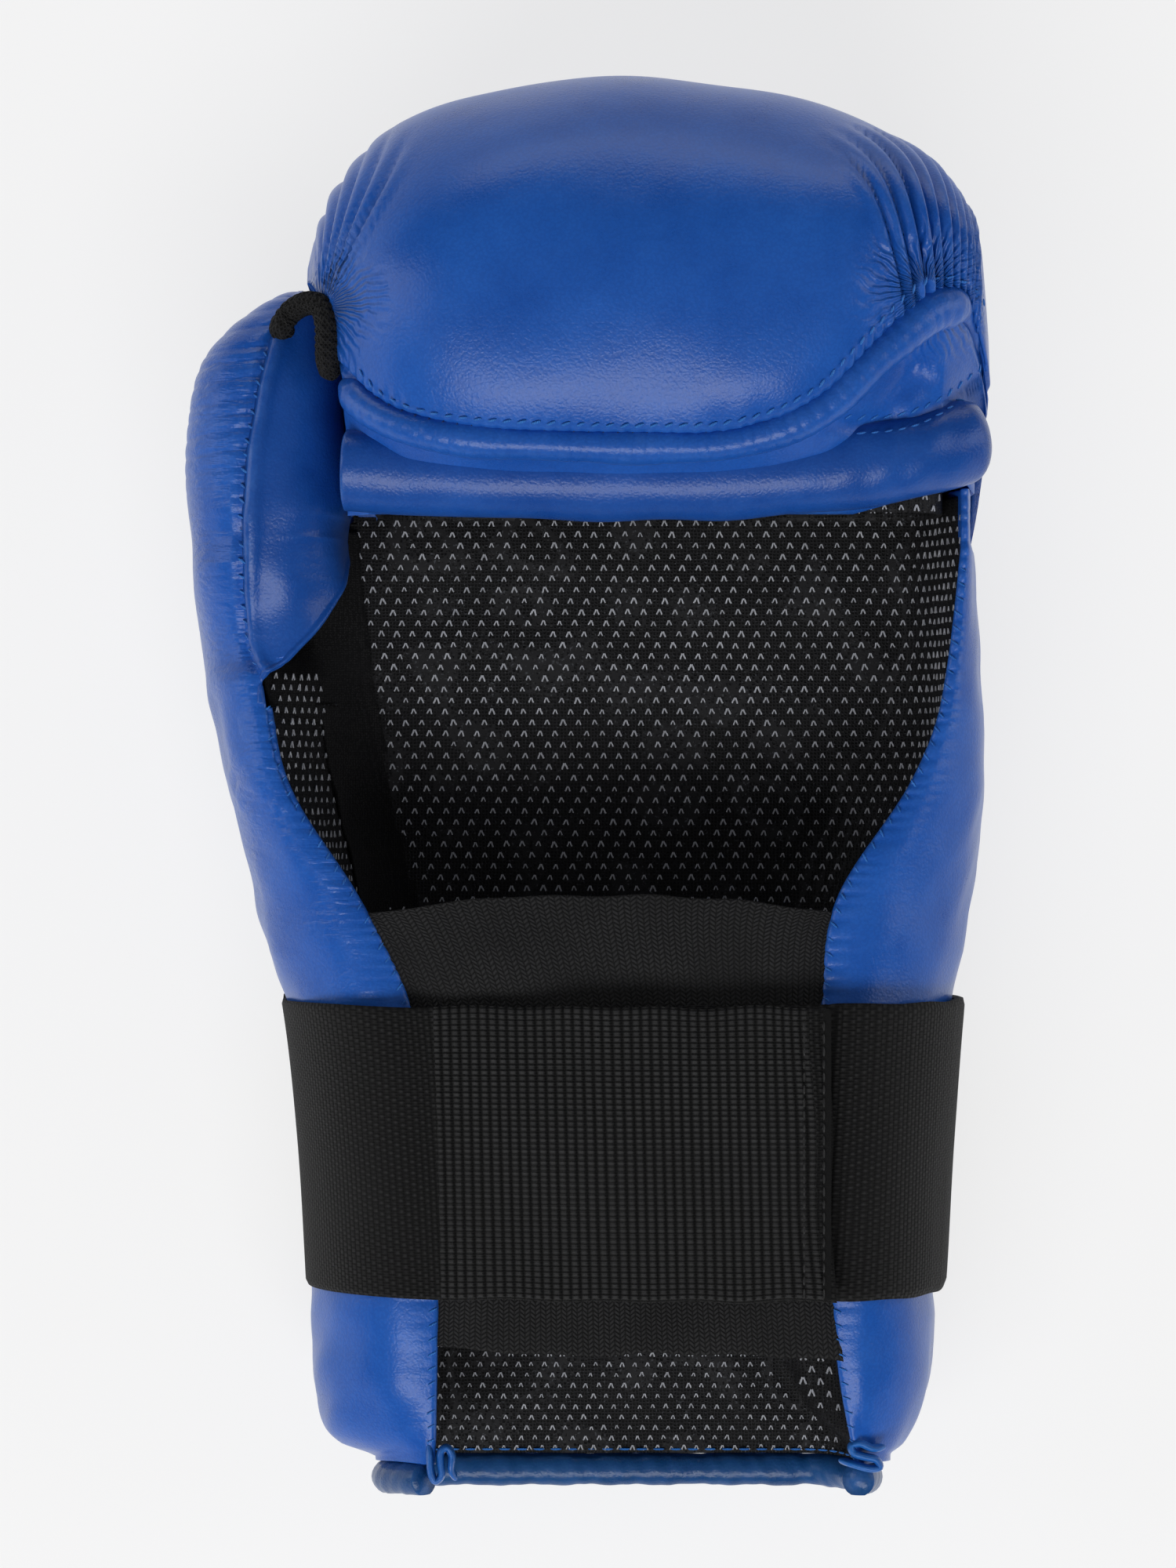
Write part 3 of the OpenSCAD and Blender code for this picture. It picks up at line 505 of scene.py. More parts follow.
def roll_profile(x):
    """Section of the roll in YZ at every x: outer face from the flex line round to the lip,
    then the facing, the pocket's ceiling, its end and its floor."""
    col = lambda k: smooth(ROLL_ROWS, x, k)[:, None]
    far_y, front, base, start, top, lip_y, lip_z = (col(k) for k in range(1, 8))
    foot = np.minimum(62, mix(start, far_y, 0.3))
    far_z = np.minimum(TURN_Z, mix(base, front, 0.5))
    crest = mix(lip_y, far_y, 0.42)
    arc, down = np.linspace(0, 1, ARC_POINTS + 1)[None, 1:], np.linspace(0, 1, 22)[None, 1:]
    ys = [mix(start, foot, np.linspace(0, 1, FOOT_POINTS)[None]),
          bezier(foot, mix(foot, far_y, 0.55), far_y, far_y, arc),
          bezier(far_y, far_y, mix(crest, far_y, 0.5), crest, arc),
          bezier(crest, mix(crest, lip_y, 0.5), lip_y + 0.5, lip_y, arc)]
    zs = [np.broadcast_to(base, (len(x), FOOT_POINTS)),
          bezier(base, base, mix(base, far_z, 0.45), far_z, arc),
          bezier(far_z, mix(far_z, front, 0.62), front, front, arc),
          bezier(front, front, mix(lip_z, front, 0.45), lip_z, arc)]
    # The mouth's edge rises with the band towards the right
    mouth = np.interp(x, [46, 62, 69], [MOUTH_Y, MOUTH_Y + 4.5, MOUTH_Y + 7.5])[:, None]
    low_y = np.minimum(mouth, mix(start, lip_y, 0.3))
    low_z = np.maximum(top, np.minimum(MOUTH_Z, lip_z - 8))
    facing_y = mix(lip_y, low_y, down)
    below = lip_y - facing_y
    right, cap = step(x, 40, 55)[:, None], step(x, 54, 63)[:, None]
    swell = 3.8 * cap * np.exp(-np.maximum(below - 3, 0) / 7)
    swell = swell - mix(4.2, 1.6, cap) * np.exp(-((below - mix(8, 15, cap)) / 6) ** 2)
    # The second seam draws the facing in
    groove = 1.5 * np.exp(-((facing_y - np.interp(x, FACING_X, FACING_Y)[:, None]) / 1.3) ** 2)
    ys.append(facing_y)
    zs.append(mix(lip_z, low_z, down) + right * swell * np.minimum(below / 3, 1)
              - groove * step(x, 36, 44)[:, None])
    # The pocket opens between its two side walls
    gap = 1.4       # from the pocket's lining to the leather
    inside = between(x, POCKET_LEFT - 1.6, POCKET_LEFT, POCKET_RIGHT - 0.2, POCKET_RIGHT + gap)[:, None]
    q = np.linspace(0, 1, 36)[None]
    ceiling, floor, reach = POCKET_TOP + gap, FLOOR_Z - gap, POCKET_END + gap
    open_y = np.interp(q, [0, 0.06, 0.42, 0.5, 0.58, 1],
                       [MOUTH_Y + 1, MOUTH_Y + 4, reach - 7, reach, reach - 7, KNUCKLE_Y])
    open_z = np.interp(q, [0, 0.06, 0.42, 0.46, 0.54, 0.58, 1],
                       [ceiling + 0.6, ceiling, ceiling, ceiling - 6, floor + 6, floor, floor])
    wall_y, sill = np.maximum(low_y, 51.0), np.minimum(floor, top - 1)
    open_y = np.where(q < 0.3, np.maximum(open_y, low_y + 0.6), open_y)
    shut_y = mix(mix(low_y, wall_y, np.minimum(q * 6, 1)), start, np.clip(q * 3 - 1, 0, 1))
    shut_z = mix(mix(low_z, sill + 2, np.minimum(q * 3, 1)), sill, np.clip(q * 3 - 1, 0, 1))
    ys.append(mix(shut_y, open_y, inside))
    zs.append(mix(shut_z, open_z, inside))
    y, z = (np.concatenate([np.broadcast_to(p, (len(x), p.shape[1])) for p in parts], 1) for parts in (ys, zs))
    return np.stack([np.broadcast_to(squeeze(x)[:, None], y.shape), y, z], -1)


# The second seam, on the facing under the lip
FACING_X, FACING_Y = [36, 41, 49, 56, 62, 69], [61.8, 62.0, 62.2, 63.4, 66.4, 72]
FACE = FOOT_POINTS + 3 * ARC_POINTS     # points of the roll's section up to the lip


def lip_path(count):
    """The roll's lip from left to right."""
    x = np.linspace(LIP_LEFT, LIP_RIGHT, count)
    return np.stack([squeeze(x), smooth(ROLL_ROWS, x, 6), smooth(ROLL_ROWS, x, 7)], 1)


def grid_normals(g):
    """Unit normals of a grid of points, all pointing away from its middle."""
    n = unit(np.cross(np.gradient(g, axis=0), np.gradient(g, axis=1)))
    centre = g.reshape(-1, 3).mean(0)
    if ((g - centre) * n).sum() < 0:
        n = -n
    return n


SEAM_OFF = 3.6     # from the lip's middle to the sewn line above it


def roll_relief(x, g):
    """How far the leather stands off the plain roll: pleats, slack and soft dents."""
    face = g[:, :FACE]
    from_lip = lengths_across(face[:, ::-1])[:, ::-1]
    # Pleats that rise from the arc at the right end and fan out to the left
    lip = lip_path(600)
    s = path_length(lip)
    t = np.clip(from_lip / 58, 0, 1)
    x0 = 71 - (71 - x[:, None]) * (1 - 0.52 * t)
    where = np.interp(x0, lip[:, 0], s)
    fan = step(x0, 52.5, 56.5) * (1 - t) ** 0.75 * step(from_lip, -1, 5)
    ridge = np.abs(np.sin(math.pi * where / PLEAT)) ** 0.55 - 0.6
    calm = 1 - 0.85 * step(x0, 66.5, 70)
    right = ridge * fan * calm * mix(2.0, 4.2, step(t, 0, 0.3)) * (1 + 0.25 * waves(where[..., None], 7, 4))
    # Folds that run up the left end from the tie
    dx, dy = face[..., 0] + 46.5, face[..., 1] - 80.5
    r = np.hypot(dx, dy)
    bend = np.degrees(np.arctan2(dx, np.maximum(dy, 0.1))) + 0.5 * waves(face, 30, 8)
    fold = np.abs(np.sin(np.radians(bend * 180 / 6.4))) ** 0.6 - 0.6
    left = fold * step(r, 2, 9) * (1 - step(r, 20, 40)) * (1 - step(bend, 24, 36)) * step(bend, -9, 3) * 2.0
    soft = waves(face, 38, 15, 8) * 0.3
    # Dents beside the seam in the right half of the front
    dent = 0
    for deep, at_x, wide, off, tall in ((0.5, 22, 3.2, 5, 5), (0.45, 29, 2.6, 4, 4.5)):
        dent = dent - deep * np.exp(-((face[..., 0] - at_x) / wide) ** 2) * np.exp(-((from_lip - off) / tall) ** 2)
    seam_s = np.interp(x[:, None], lip[:, 0], s)
    pucker = 0.22 * np.cos(2 * math.pi * seam_s / PLEAT) * np.exp(-((from_lip - 5.2) / 1.5) ** 2)
    thread_line = -1.0 * np.exp(-((from_lip - SEAM_OFF) / 0.6) ** 2)
    out = np.zeros(g.shape[:2])
    out[:, :FACE] = right + left + (soft + dent) * step(from_lip, 0, 6) + pucker + thread_line
    return out


def finger_leather(material):
    x = spans([-49.6, -47, -32, 44, 70.2, 70.5], [16, 52, 80, 120, 4])
    g = roll_profile(x)
    normal = grid_normals(g)
    g = g + normal * roll_relief(x, g)[..., None]
    # The thumb's place at the left stays free
    free = np.interp(g[..., 1], [70, 75, 81, 85.5, 88.3, 92], [-42.7, -43.7, -45.0, -47.0, -49.0, -90])
    g[..., 0] = np.maximum(g[..., 0], free)
    # The outer ends draw in under the band
    tuck = (1 - step(g[..., 1], 60, 66)) * (np.arange(g.shape[1]) >= FACE)
    g[..., 0] = mix(g[..., 0], np.clip(g[..., 0], LIP_LEFT + 0.4, LIP_RIGHT), tuck)
    obj = make("finger_leather", *loft(g), material)
    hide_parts("finger_shell", "finger_foam", "finger_facing")
    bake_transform(obj)
    return obj


def finger_lip(material):
    p = lip_path(420)
    s = path_length(p)
    broad = step(p[:, 0], 44, 58)
    p[:, 1] += 0.5 - 1.2 * broad
    p[:, 2] -= 0.7 * broad
    ends = rounded(s, 5, 0.02)
    swell = 1 + 0.05 * waves(p, 14, 31) + 0.035 * gathers(s + 0.4 * waves(p, 6, 32), 2.6)
    # Past the arc's top the lip fades into the facing
    grown = mix(1.0, 1.28, broad) * (1 - 0.6 * step(p[:, 0], 61, 66.5))
    rings = tube(p, 3.2 * ends * swell * grown, 3.5 * ends * swell * grown, 24)
    obj = make("finger_lip_roll", *loft(rings), material)
    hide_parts("finger_lip")
    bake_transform(obj)
    return obj


def band_path(count):
    x = np.linspace(-43.0, 68.6, count)
    return np.stack([x, smooth(BAND_ROWS, x, 1), smooth(BAND_ROWS, x, 2)], 1)


BAND_TILT = math.radians(24)


def finger_band(material):
    p = band_path(260)
    s = path_length(p)
    ends = rounded(s, 5, 0.03, first=0.8)
    sag = 0.25 * waves(p, 26, 41)
    up = np.array([0, -math.sin(BAND_TILT), math.cos(BAND_TILT)])
    width = (7.4 + sag) * mix(0.55, 1, ends)
    depth = (5.9 + 0.15 * waves(p, 17, 42)) * ends
    p[:, 1] -= 0.9
    rings = tube(p, width, depth, 40, up)
    # Creases across the band near its right end
    for where, deep, broad in ((-33, 0.3, 3.0), (41, 0.2, 2.6), (48, 0.25, 2.2), (54, 0.3, 2.4), (61, 0.35, 2.4)):
        v = np.exp(-((rings[..., 0] - where - 0.3 * (rings[..., 1] - 53)) / broad) ** 2)
        rings[..., 2] -= deep * v * step(rings[..., 1], 46, 54)
    obj = make("finger_band_pad", *loft(rings), material)
    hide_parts("finger_band", "band_core")
    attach(obj, "fingers")
    return obj


SQUARISH = 0.44     # power that makes the pocket's oval a rounded box


def finger_lining(material):
    end = POCKET_END - 1.4
    rows = [(MOUTH_Y + 0.6, 1.0), (60, 1.0), (75, 1.0), (89, 0.93), (96, 0.76), (end - 0.8, 0.6), (end, 0.01)]
    half = (POCKET_RIGHT - POCKET_LEFT) / 2
    cx, cz, hz = (POCKET_RIGHT + POCKET_LEFT) / 2, (FLOOR_Z + POCKET_TOP) / 2, (POCKET_TOP - FLOOR_Z) / 2
    ox, oz = oval_point(circle(96) + 0.03, SQUARISH)
    y = np.concatenate([np.linspace(MOUTH_Y + 0.6, 88, 46), np.linspace(89, end, 20)])
    k = np.interp(y, [r[0] for r in rows], [r[1] for r in rows])
    rings = []
    for grow in (1.0, 0.0):
        for yy, kk in (zip(y, k) if grow else zip(y[::-1], k[::-1])):
            z = cz + oz * (hz * kk + grow)
            rings.append(np.stack([cx + ox * (half * kk + grow), np.full(96, yy + (grow if kk < 1 else 0)), z], 1))
    obj = make("finger_lining_mesh", *loft(np.array(rings), hollow=True), material)
    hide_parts("finger_lining")
    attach(obj, "fingers")
    return obj


# ---------------------------------------------------------------- the thumb
THUMB_SIDE, THUMB_LEFT, THUMB_TOP, THUMB_TIP = -43.0, -70.7, 56.0, 88.3
# y, left, right, underside, top
THUMB_ROWS = [
    (18.3, -68.5, THUMB_SIDE, 3, PALM_H), (26, THUMB_LEFT + 1.2, THUMB_SIDE, 5, PALM_H + 2),
    (34, THUMB_LEFT + 0.4, THUMB_SIDE, 8, THUMB_TOP - 2), (46, THUMB_LEFT, THUMB_SIDE, 10.5, THUMB_TOP),
    (58, THUMB_LEFT - 0.3, THUMB_SIDE, 12, THUMB_TOP), (67, THUMB_LEFT + 0.1, -43.5, 13, THUMB_TOP - 0.5),
    (75, THUMB_LEFT + 2.4, -44.2, 15, THUMB_TOP - 2.5), (81, THUMB_LEFT + 7.3, -45.5, 18, THUMB_TOP - 6),
    (85.5, THUMB_LEFT + 13.2, -47.5, 22, THUMB_TOP - 11), (87.6, THUMB_LEFT + 17, -49.2, 27, THUMB_TOP - 17),
    (THUMB_TIP, THUMB_LEFT + 19.5, -51, 32, THUMB_TOP - 22),
]
THUMB_ROUND = 2.7
# y, x of the panel's edge towards the palm, and of the seam along the thumb
PANEL_EDGE = [(-60, -57), (17.6, -57.8), (19.6, -56.2), (21.7, -52.6), (26.5, -48), (31.4, -44.6), (36, -43.4),
              (50, -43)]
THUMB_SEAM = [(10, -59.6), (17, -58.5), (19.3, -57.9), (25.1, -60), (33.5, -60.7), (47.4, -60.7), (58.6, -59.8),
              (69.7, -57.9), (78.1, -55.9), (83.7, -52.6), (THUMB_TIP, -51.6)]
THUMB_HOLE_X, THUMB_HOLE_Z = -55.8, 35.0
HOLE_HALF_X, HOLE_HALF_Z, HOLE_ROUND = 8, 11.5, 2 / 2.4
# y, share of the hole's full size
THUMB_HOLE_ROWS = [(-60, 1), (52, 0.96), (66, 0.86), (73, 0.68), (77, 0.35), (78, 0.05), (90, 0.02)]
AROUND = 150        # points round the thumb's section


def at(table, q):
    """A table of (place, value) rows at q."""
    return np.interp(q, [r[0] for r in table], [r[1] for r in table])


def thumb_curves(y):
    """Outer and inner curves of the thumb in XZ, evened out along its middle."""
    even = between(y, 21, 27, 64, 70)[:, None, None]
    runs = [plain_thumb_curves(y + d) for d in (-4, -2, 0, 2, 4)]
    return tuple(mix(runs[2][k], np.mean([r[k] for r in runs], 0), even) for k in range(3))


def plain_thumb_curves(y):
    """The same before evening: from the edge that faces the palm over the top, down the left side
    and back along the underside."""
    left, right, low, top = (smooth(THUMB_ROWS, y, k) for k in (1, 2, 3, 4))
    cx, cz, a, b = (left + right) / 2, (low + top) / 2, (right - left) / 2, (top - low) / 2
    edge = at(PANEL_EDGE, y)
    shown = np.clip((edge - cx) / a, -0.95, 0.999)
    start = np.arccos(np.sign(shown) * np.abs(shown) ** (THUMB_ROUND / 2))
    closed = step(y, 41, 48)
    start = mix(start, math.radians(-38), closed)
    stop = np.radians(mix(312.0, 321.7, closed))
    t = np.linspace(0, 1, AROUND)[None]
    angle = start[:, None] + (stop - start)[:, None] * t
    ox, oz = oval_point(angle, 2 / THUMB_ROUND)
    oval = pair(cx[:, None] + a[:, None] * ox, cz[:, None] + b[:, None] * oz)
    # Beside the palm the section is still that of the hand's left wall
    q = np.minimum(y, KNUCKLE_Y)
    outer, _ = wall(-1, q, LEFT_ROWS)
    shift = (at(PANEL_EDGE, y) - outer[:, 0, 0]) * step(y, 17, 19)
    reach = np.clip((outer[..., 0] - outer[:, HALF // 2 - 1, 0][:, None])
                    / (outer[:, 0, 0] - outer[:, HALF // 2 - 1, 0])[:, None], 0, 1)
    outer[..., 0] += shift[:, None] * np.where(np.arange(HALF - 1) < HALF // 2, reach, 0)
    outer = np.stack([resample(c, AROUND) for c in outer])
    even = np.stack([resample(c, AROUND) for c in oval])
    out = mix(outer, even, step(y, 20, 40)[:, None, None])
    k = at(THUMB_HOLE_ROWS, y)[:, None]
    hx, hz = oval_point(angle, HOLE_ROUND)
    drift = step(y, 66, 78)
    hole_x, hole_z = mix(THUMB_HOLE_X, cx, drift), mix(THUMB_HOLE_Z, cz, drift)
    hole = pair(hole_x[:, None] + HOLE_HALF_X * k * hx, hole_z[:, None] + HOLE_HALF_Z * k * hz)
    normal = section_normals(out)
    centre = pair(hole_x, hole_z)[:, None]
    normal *= np.sign(((out - centre) * normal).sum(2).mean(1))[:, None, None]
    thin = out - normal * LEATHER_T
    inner = mix(thin, hole, step(y, 19, 30)[:, None, None])
    gap = np.linalg.norm(out - inner, axis=2)[..., None]
    skin = np.minimum(1.0, 0.4 * np.minimum(a, b))[:, None, None]
    inner = np.where(gap < skin, out - normal * skin, inner)
    return out, inner, normal


def wall_relief(y, pts):
    """Puckers along a sewn rim and slack in the leather: pts is (y, point, xz) from the rim."""
    d = lengths_across(pts)
    uneven = y + 0.7 * waves(y[:, None], 9, 3)
    puck = gathers(uneven, GATHER)[:, None] * np.exp(-d / 2.6) * 0.42
    place = pair(y[:, None], d)
    slack = waves(place, 16, 5, 7) * 0.22
    # Creases that run down and towards the cuff, where the thumb bends in from the wrist
    crease = np.abs(np.sin(math.pi * (place[..., 0] + 0.35 * d + 1.4 * waves(place, 20, 9)) / 5.2)) ** 0.6 - 0.65
    bent = between(y, -36, -24, -4, 8)[:, None] * step(d, 1, 6) * (1 - step(d, 16, 34))
    return puck + slack * np.minimum(d / 6, 1) + 0.5 * crease * bent


def seam_relief(y, x):
    """Gathers on the thumb's outer leather, square to its seam."""
    seam = at(THUMB_SEAM, y)[:, None]
    off = seam - x
    run = (y + 0.5 * waves(y[:, None], 8, 51))[:, None] + 0.12 * off
    strong = mix(0.35, 1.0, step(y, 48, 62))[:, None] * step(y, 20, 26)[:, None]
    reach = mix(3.0, 9.0, step(y, 44, 62))[:, None] * (0.75 + 0.5 * np.abs(waves(y[:, None], 7, 52))[:, None])
    shape = np.abs(np.sin(math.pi * run / 3.1)) ** 0.6 - 0.65
    fold = shape * np.exp(-np.maximum(off, 0) / reach) * step(off, -0.6, 0.8)
    groove = -0.9 * np.exp(-((off - 0.1) / 0.8) ** 2) * step(y, 18, 20)[:, None]
    return 0.75 * fold * strong + groove


def thumb_leather(material):
    # Rows that draw closer together towards the tip
    tip = THUMB_TIP - 4.3 * (1 - np.linspace(0, 1, 26) ** 0.5)[:-1]
    y = np.sort(np.concatenate([spans([-30, 17, 84], [90, 214])[:-1], tip, [THUMB_TIP]]))
    out, inner, normal = thumb_curves(y)
    lift = mix(-0.7, 0.35, step(y, -16, 2))[:, None] * np.ones(AROUND)
    lift = np.where(out[..., 1] < 9, np.minimum(lift, mix(-0.3, 0.35, step(y, 18, 24))[:, None]), lift)
    lift = lift * (1 - step(y, 20, 30))[:, None]
    fade = 1 - step(y, 14, 22)
    relief = wall_relief(y, out) * fade[:, None]
    relief += seam_relief(y, out[..., 0]) * (out[..., 1] > 26) * step(y, 16, 22)[:, None]
    place = at_y(out, y)
    relief += (waves(place, 24, 55, 8) * 0.25) * step(y, 10, 24)[:, None] * (1 - step(y, 80, 88))[:, None]
    under = step(out[..., 0] - at(THUMB_SEAM, y)[:, None], 1, 3.5) * (out[..., 1] > 34)
    relief -= 0.7 * under * between(y, 22, 27, 74, 81)[:, None]
    out = out + normal * (lift + relief)[..., None]
    ring = np.concatenate([out, inner[:, ::-1]], 1)
    obj = make("thumb_leather", *loft(fuller(at_y(ring, y)), fold=2 * AROUND - 1), material)
    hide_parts("thumb_shell", "thumb_foam")
    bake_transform(obj)
    return obj


def thumb_panel(material):
    y = np.linspace(14.2, 83.6, 245)
    out = thumb_curves(y)[0]
    seam = at(THUMB_SEAM, y)
    count = 46
    grid = np.empty((len(y), count, 2))
    for i in range(len(y)):
        c = out[i]
        top = c if c[0, 1] >= 30 else above(c, 30)
        j = next(j for j in range(1, len(top)) if top[j, 0] < seam[i])
        end = mix(top[j - 1], top[j], (seam[i] - top[j - 1, 0]) / (top[j, 0] - top[j - 1, 0]))
        grid[i] = resample(np.vstack([top[:j], end]), count)[::-1]
    reach = 48      # each row is evened out with so many on either side
    bell = np.exp(-0.5 * (np.arange(-reach, reach + 1) / (reach / 3)) ** 2)
    padded = np.pad(grid[..., 1], ((reach, reach), (0, 0)), mode="edge")
    evened = np.stack([np.convolve(padded[:, k], bell / bell.sum(), "valid") for k in range(count)], 1)
    grid[..., 1] = mix(grid[..., 1], evened, between(y, 20, 27, 64, 74)[:, None])
    s = np.linspace(0, 1, count)[None]
    wide = np.linalg.norm(np.diff(grid, axis=1), axis=2).sum(1)[:, None]
    off = s * wide
    ends = between(y, 17.4, 21, 80.5, 83.6)[:, None]
    welt = 0.95 * np.exp(-((off - 1.7) / 1.25) ** 2) * ends
    slack = 0.16 * waves(at_y(grid, y), 15, 61)
    nx = section_normals(grid)
    nx *= np.sign(nx[..., 1].mean())
    rise = mix(-0.4, 0.45, np.minimum(off / 0.8, 1)) + welt + slack
    # The edge over the thumb's mouth is turned under
    turn = np.clip(1 - (wide - off) / 1.6, 0, 1) * (1 - step(y, 36, 42))[:, None]
    rise = rise + 0.5 * np.sin(math.pi * turn)
    grid = grid + nx * rise[..., None]
    obj = make("thumb_panel_leather", *sheet(at_y(grid, y), 1.0), material)
    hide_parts("thumb_panel")
    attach(obj, "thumb")
    return obj


def thumb_lining(material):
    y = np.linspace(34.5, 77.6, 70)
    k = at(THUMB_HOLE_ROWS, y)
    angle = circle(60)
    rings = []
    for grow, order in ((-0.25, range(len(y))), (-0.9, range(len(y) - 1, -1, -1))):
        for i in order:
            edge = at(PANEL_EDGE, y[i])
            ox, oz = oval_point(angle, HOLE_ROUND)
            x = THUMB_HOLE_X + (HOLE_HALF_X * k[i] + grow) * ox
            z = THUMB_HOLE_Z + (HOLE_HALF_Z * k[i] + grow) * oz
            z = np.where(z > THUMB_HOLE_Z - 6, np.where(x > edge - 1, THUMB_HOLE_Z - 6 + 0.02 * (z - 20), z), z)
            rings.append(np.stack([x, np.full(60, y[i] + (grow if grow < -1 and i == len(y) - 1 else 0)), z], 1))
    obj = make("thumb_lining_knit", *loft(np.array(rings), hollow=True), material)
    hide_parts("thumb_lining")
    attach(obj, "thumb")
    return obj


# y, x of the line where the knit at the thumb's mouth meets the floor
GUSSET_FOLD = [(-24, -30), (-19.4, -30.8), (-7, -34.3), (14, -37.8), (33, -41), (60, -43)]
MARKS_DOWN = 19.0   # how far the marked mesh shows down the wall, above the knit


def thumb_gusset(material):
    """Knitted sheet that lines the wall beside the thumb's mouth and runs on into the thumb."""
    y = np.linspace(-24, 45.5, 170)
    n = 70
    _, inner = tray(np.minimum(y, KNUCKLE_Y))
    angle = np.linspace(math.radians(135), math.radians(318), n)
    ox, oz = oval_point(angle, HOLE_ROUND)
    sleeve = pair(THUMB_HOLE_X + 7.4 * ox, THUMB_HOLE_Z + 10.9 * oz)
    rows = []
    for i, yy in enumerate(y):
        edge = at(GUSSET_FOLD, yy)
        c = inner[i, :HALF - 1]
        keep = c[c[:, 0] < edge + 0.01]
        s = path_length(keep)
        first = MARKS_DOWN * (1 - step(yy, 10.5, 14))
        keep = sample(keep, s, np.linspace(min(first, s[-1] * 0.72), s[-1], n))
        path = resample(np.vstack([sleeve, [[edge, FLOOR_Z + 0.4]]]), n)
        rows.append(mix(keep, path, float(step(yy, 18, 31))))
    grid = np.array(rows)
    nx = section_normals(grid)
    nx *= np.sign((nx * (np.array([0, 45.0]) - grid)).sum(2).mean())
    place = at_y(grid, y)
    lift = 0.6 + 0.3 * np.maximum(waves(place, 14, 71), -0.5) * step(y, -20, -8)[:, None]
    grid = grid + nx * lift[..., None]
    obj = make("thumb_gusset", *sheet(at_y(grid, y), 0.5), material)
    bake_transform(obj)
    return obj


# Points from inside the thumb's tip over to the seam of the roll, and into it
TIE_POINTS = [
    (-53.6, 79.4, 50.5), (-53.8, 80.2, 53.8), (-52, 82.6, 55.2), (-49, 83.8, 58.4), (-46.4, 82.8, 61.6),
    (-45.5, 80, 63.4), (-45.4, 76.8, 63), (-45.4, 74, 61.4), (-45, 72.2, 57.5),
]
TIE_RADIUS, TIE_STRANDS, TIE_TURNS = 2.05, 4, 22


def thumb_tie(material):
    """Tube with the ridges of a round braid."""
    p = curve_through(TIE_POINTS, 190)
    rings = tube(p, TIE_RADIUS, TIE_RADIUS, 48)
    s = path_length(p)[:, None]
    ang = circle(48)[None]
    twist = 2 * math.pi * TIE_TURNS * s / s.max()
    ridge = np.maximum(np.cos(TIE_STRANDS * ang + twist), np.cos(TIE_STRANDS * ang - twist))
    obj = make("thumb_tie_braid", *loft(pushed(rings, 0.22 * (ridge - 0.6))), material)
    uv_from_vertices(obj, np.vstack([pair(s, ang * TIE_RADIUS).reshape(-1, 2), [[0, 0], [0, 0]]]))
    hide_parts("thumb_tie")
    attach(obj, "fingers")
    return obj


# ---------------------------------------------------------------- the wrist elastic and the strap
STRAP_Y, STRAP_W, STRAP_T = -64.0, 51.0, 1.6
HINGE_X, HINGE_Z = -54.5, WRIST_H - 14
WALL_GAP, GAP, PATCH_T = 0.3, 0.12, 1.0
OVER = 1.6 + WALL_GAP
BASE_Z = WRIST_H + OVER + WALL_GAP + GAP
LOOP_Z = BASE_Z + STRAP_T + GAP
HOOK_Z = LOOP_Z + PATCH_T + WALL_GAP
TAIL_Z = HOOK_Z + PATCH_T + GAP
TAIL_END, BASE_END = 42.0, 7.0
JOIN_Z = 20.5       # height of the sewn joint between the strap's two lengths, under the left side


def climb(p):
    """Lifts a path that follows the hand's outer side, so that it clears the rim at the top."""
    p = p.copy()
    p[:, 1] += OVER * np.maximum(0, p[:, 1] - HINGE_Z) / (WRIST_H - HINGE_Z)
    return p


def offset_curve(p, d):
    t = unit(np.gradient(p, axis=0))
    return p + np.stack([-t[:, 1], t[:, 0]], 1) * np.reshape(d, (-1, 1))


def softened(path, reach):
    """Moving average along a path, with its ends kept."""
    padded = np.concatenate([np.repeat(path[:1], reach, 0), path, np.repeat(path[-1:], reach, 0)])
    kernel = np.hanning(2 * reach + 3)[1:-1]
    out = np.stack([np.convolve(padded[:, k], kernel / kernel.sum(), "valid") for k in (0, 1)], 1)
    keep = np.minimum(np.minimum(np.arange(len(path)), np.arange(len(path))[::-1]) / reach, 1)[:, None]
    return mix(path, out, keep)


def fine_curve(points, spacing_of):
    """A path's points at a spacing that depends on the place along it."""
    s = path_length(points)
    q, out = 0.0, [0.0]
    while q < s[-1]:
        x = np.interp(q, s, points[:, 0])
        q += spacing_of(x)
        out.append(min(q, s[-1]))
    return sample(points, s, out)


def strap_rows(count=58):
    """Places in y across the strap, closer together at its edges."""
    edge = np.linspace(-1, 1, count)
    return STRAP_Y + STRAP_W / 2 * np.sign(edge) * np.abs(edge) ** 0.92


RIB_LEFT, RIB_RIGHT, RIB_PITCH = -26.6, 40.0, 1.65      # where the tail's webbing is ribbed, and how finely
FLAT_WEAVE = 2.0        # what the attribute "rib" says where webbing is woven flat


def strap_row(out, y, place, size, seed):
    """A row of the strap's points in space, which strays a little from straight near the strap's edges."""
    v = abs(y - STRAP_Y) / (STRAP_W / 2)
    stray = size * waves(place + [3 * np.sign(y - STRAP_Y), 0], 17, seed)
    return np.stack([out[:, 0], y + stray * v**6, out[:, 1]], 1)


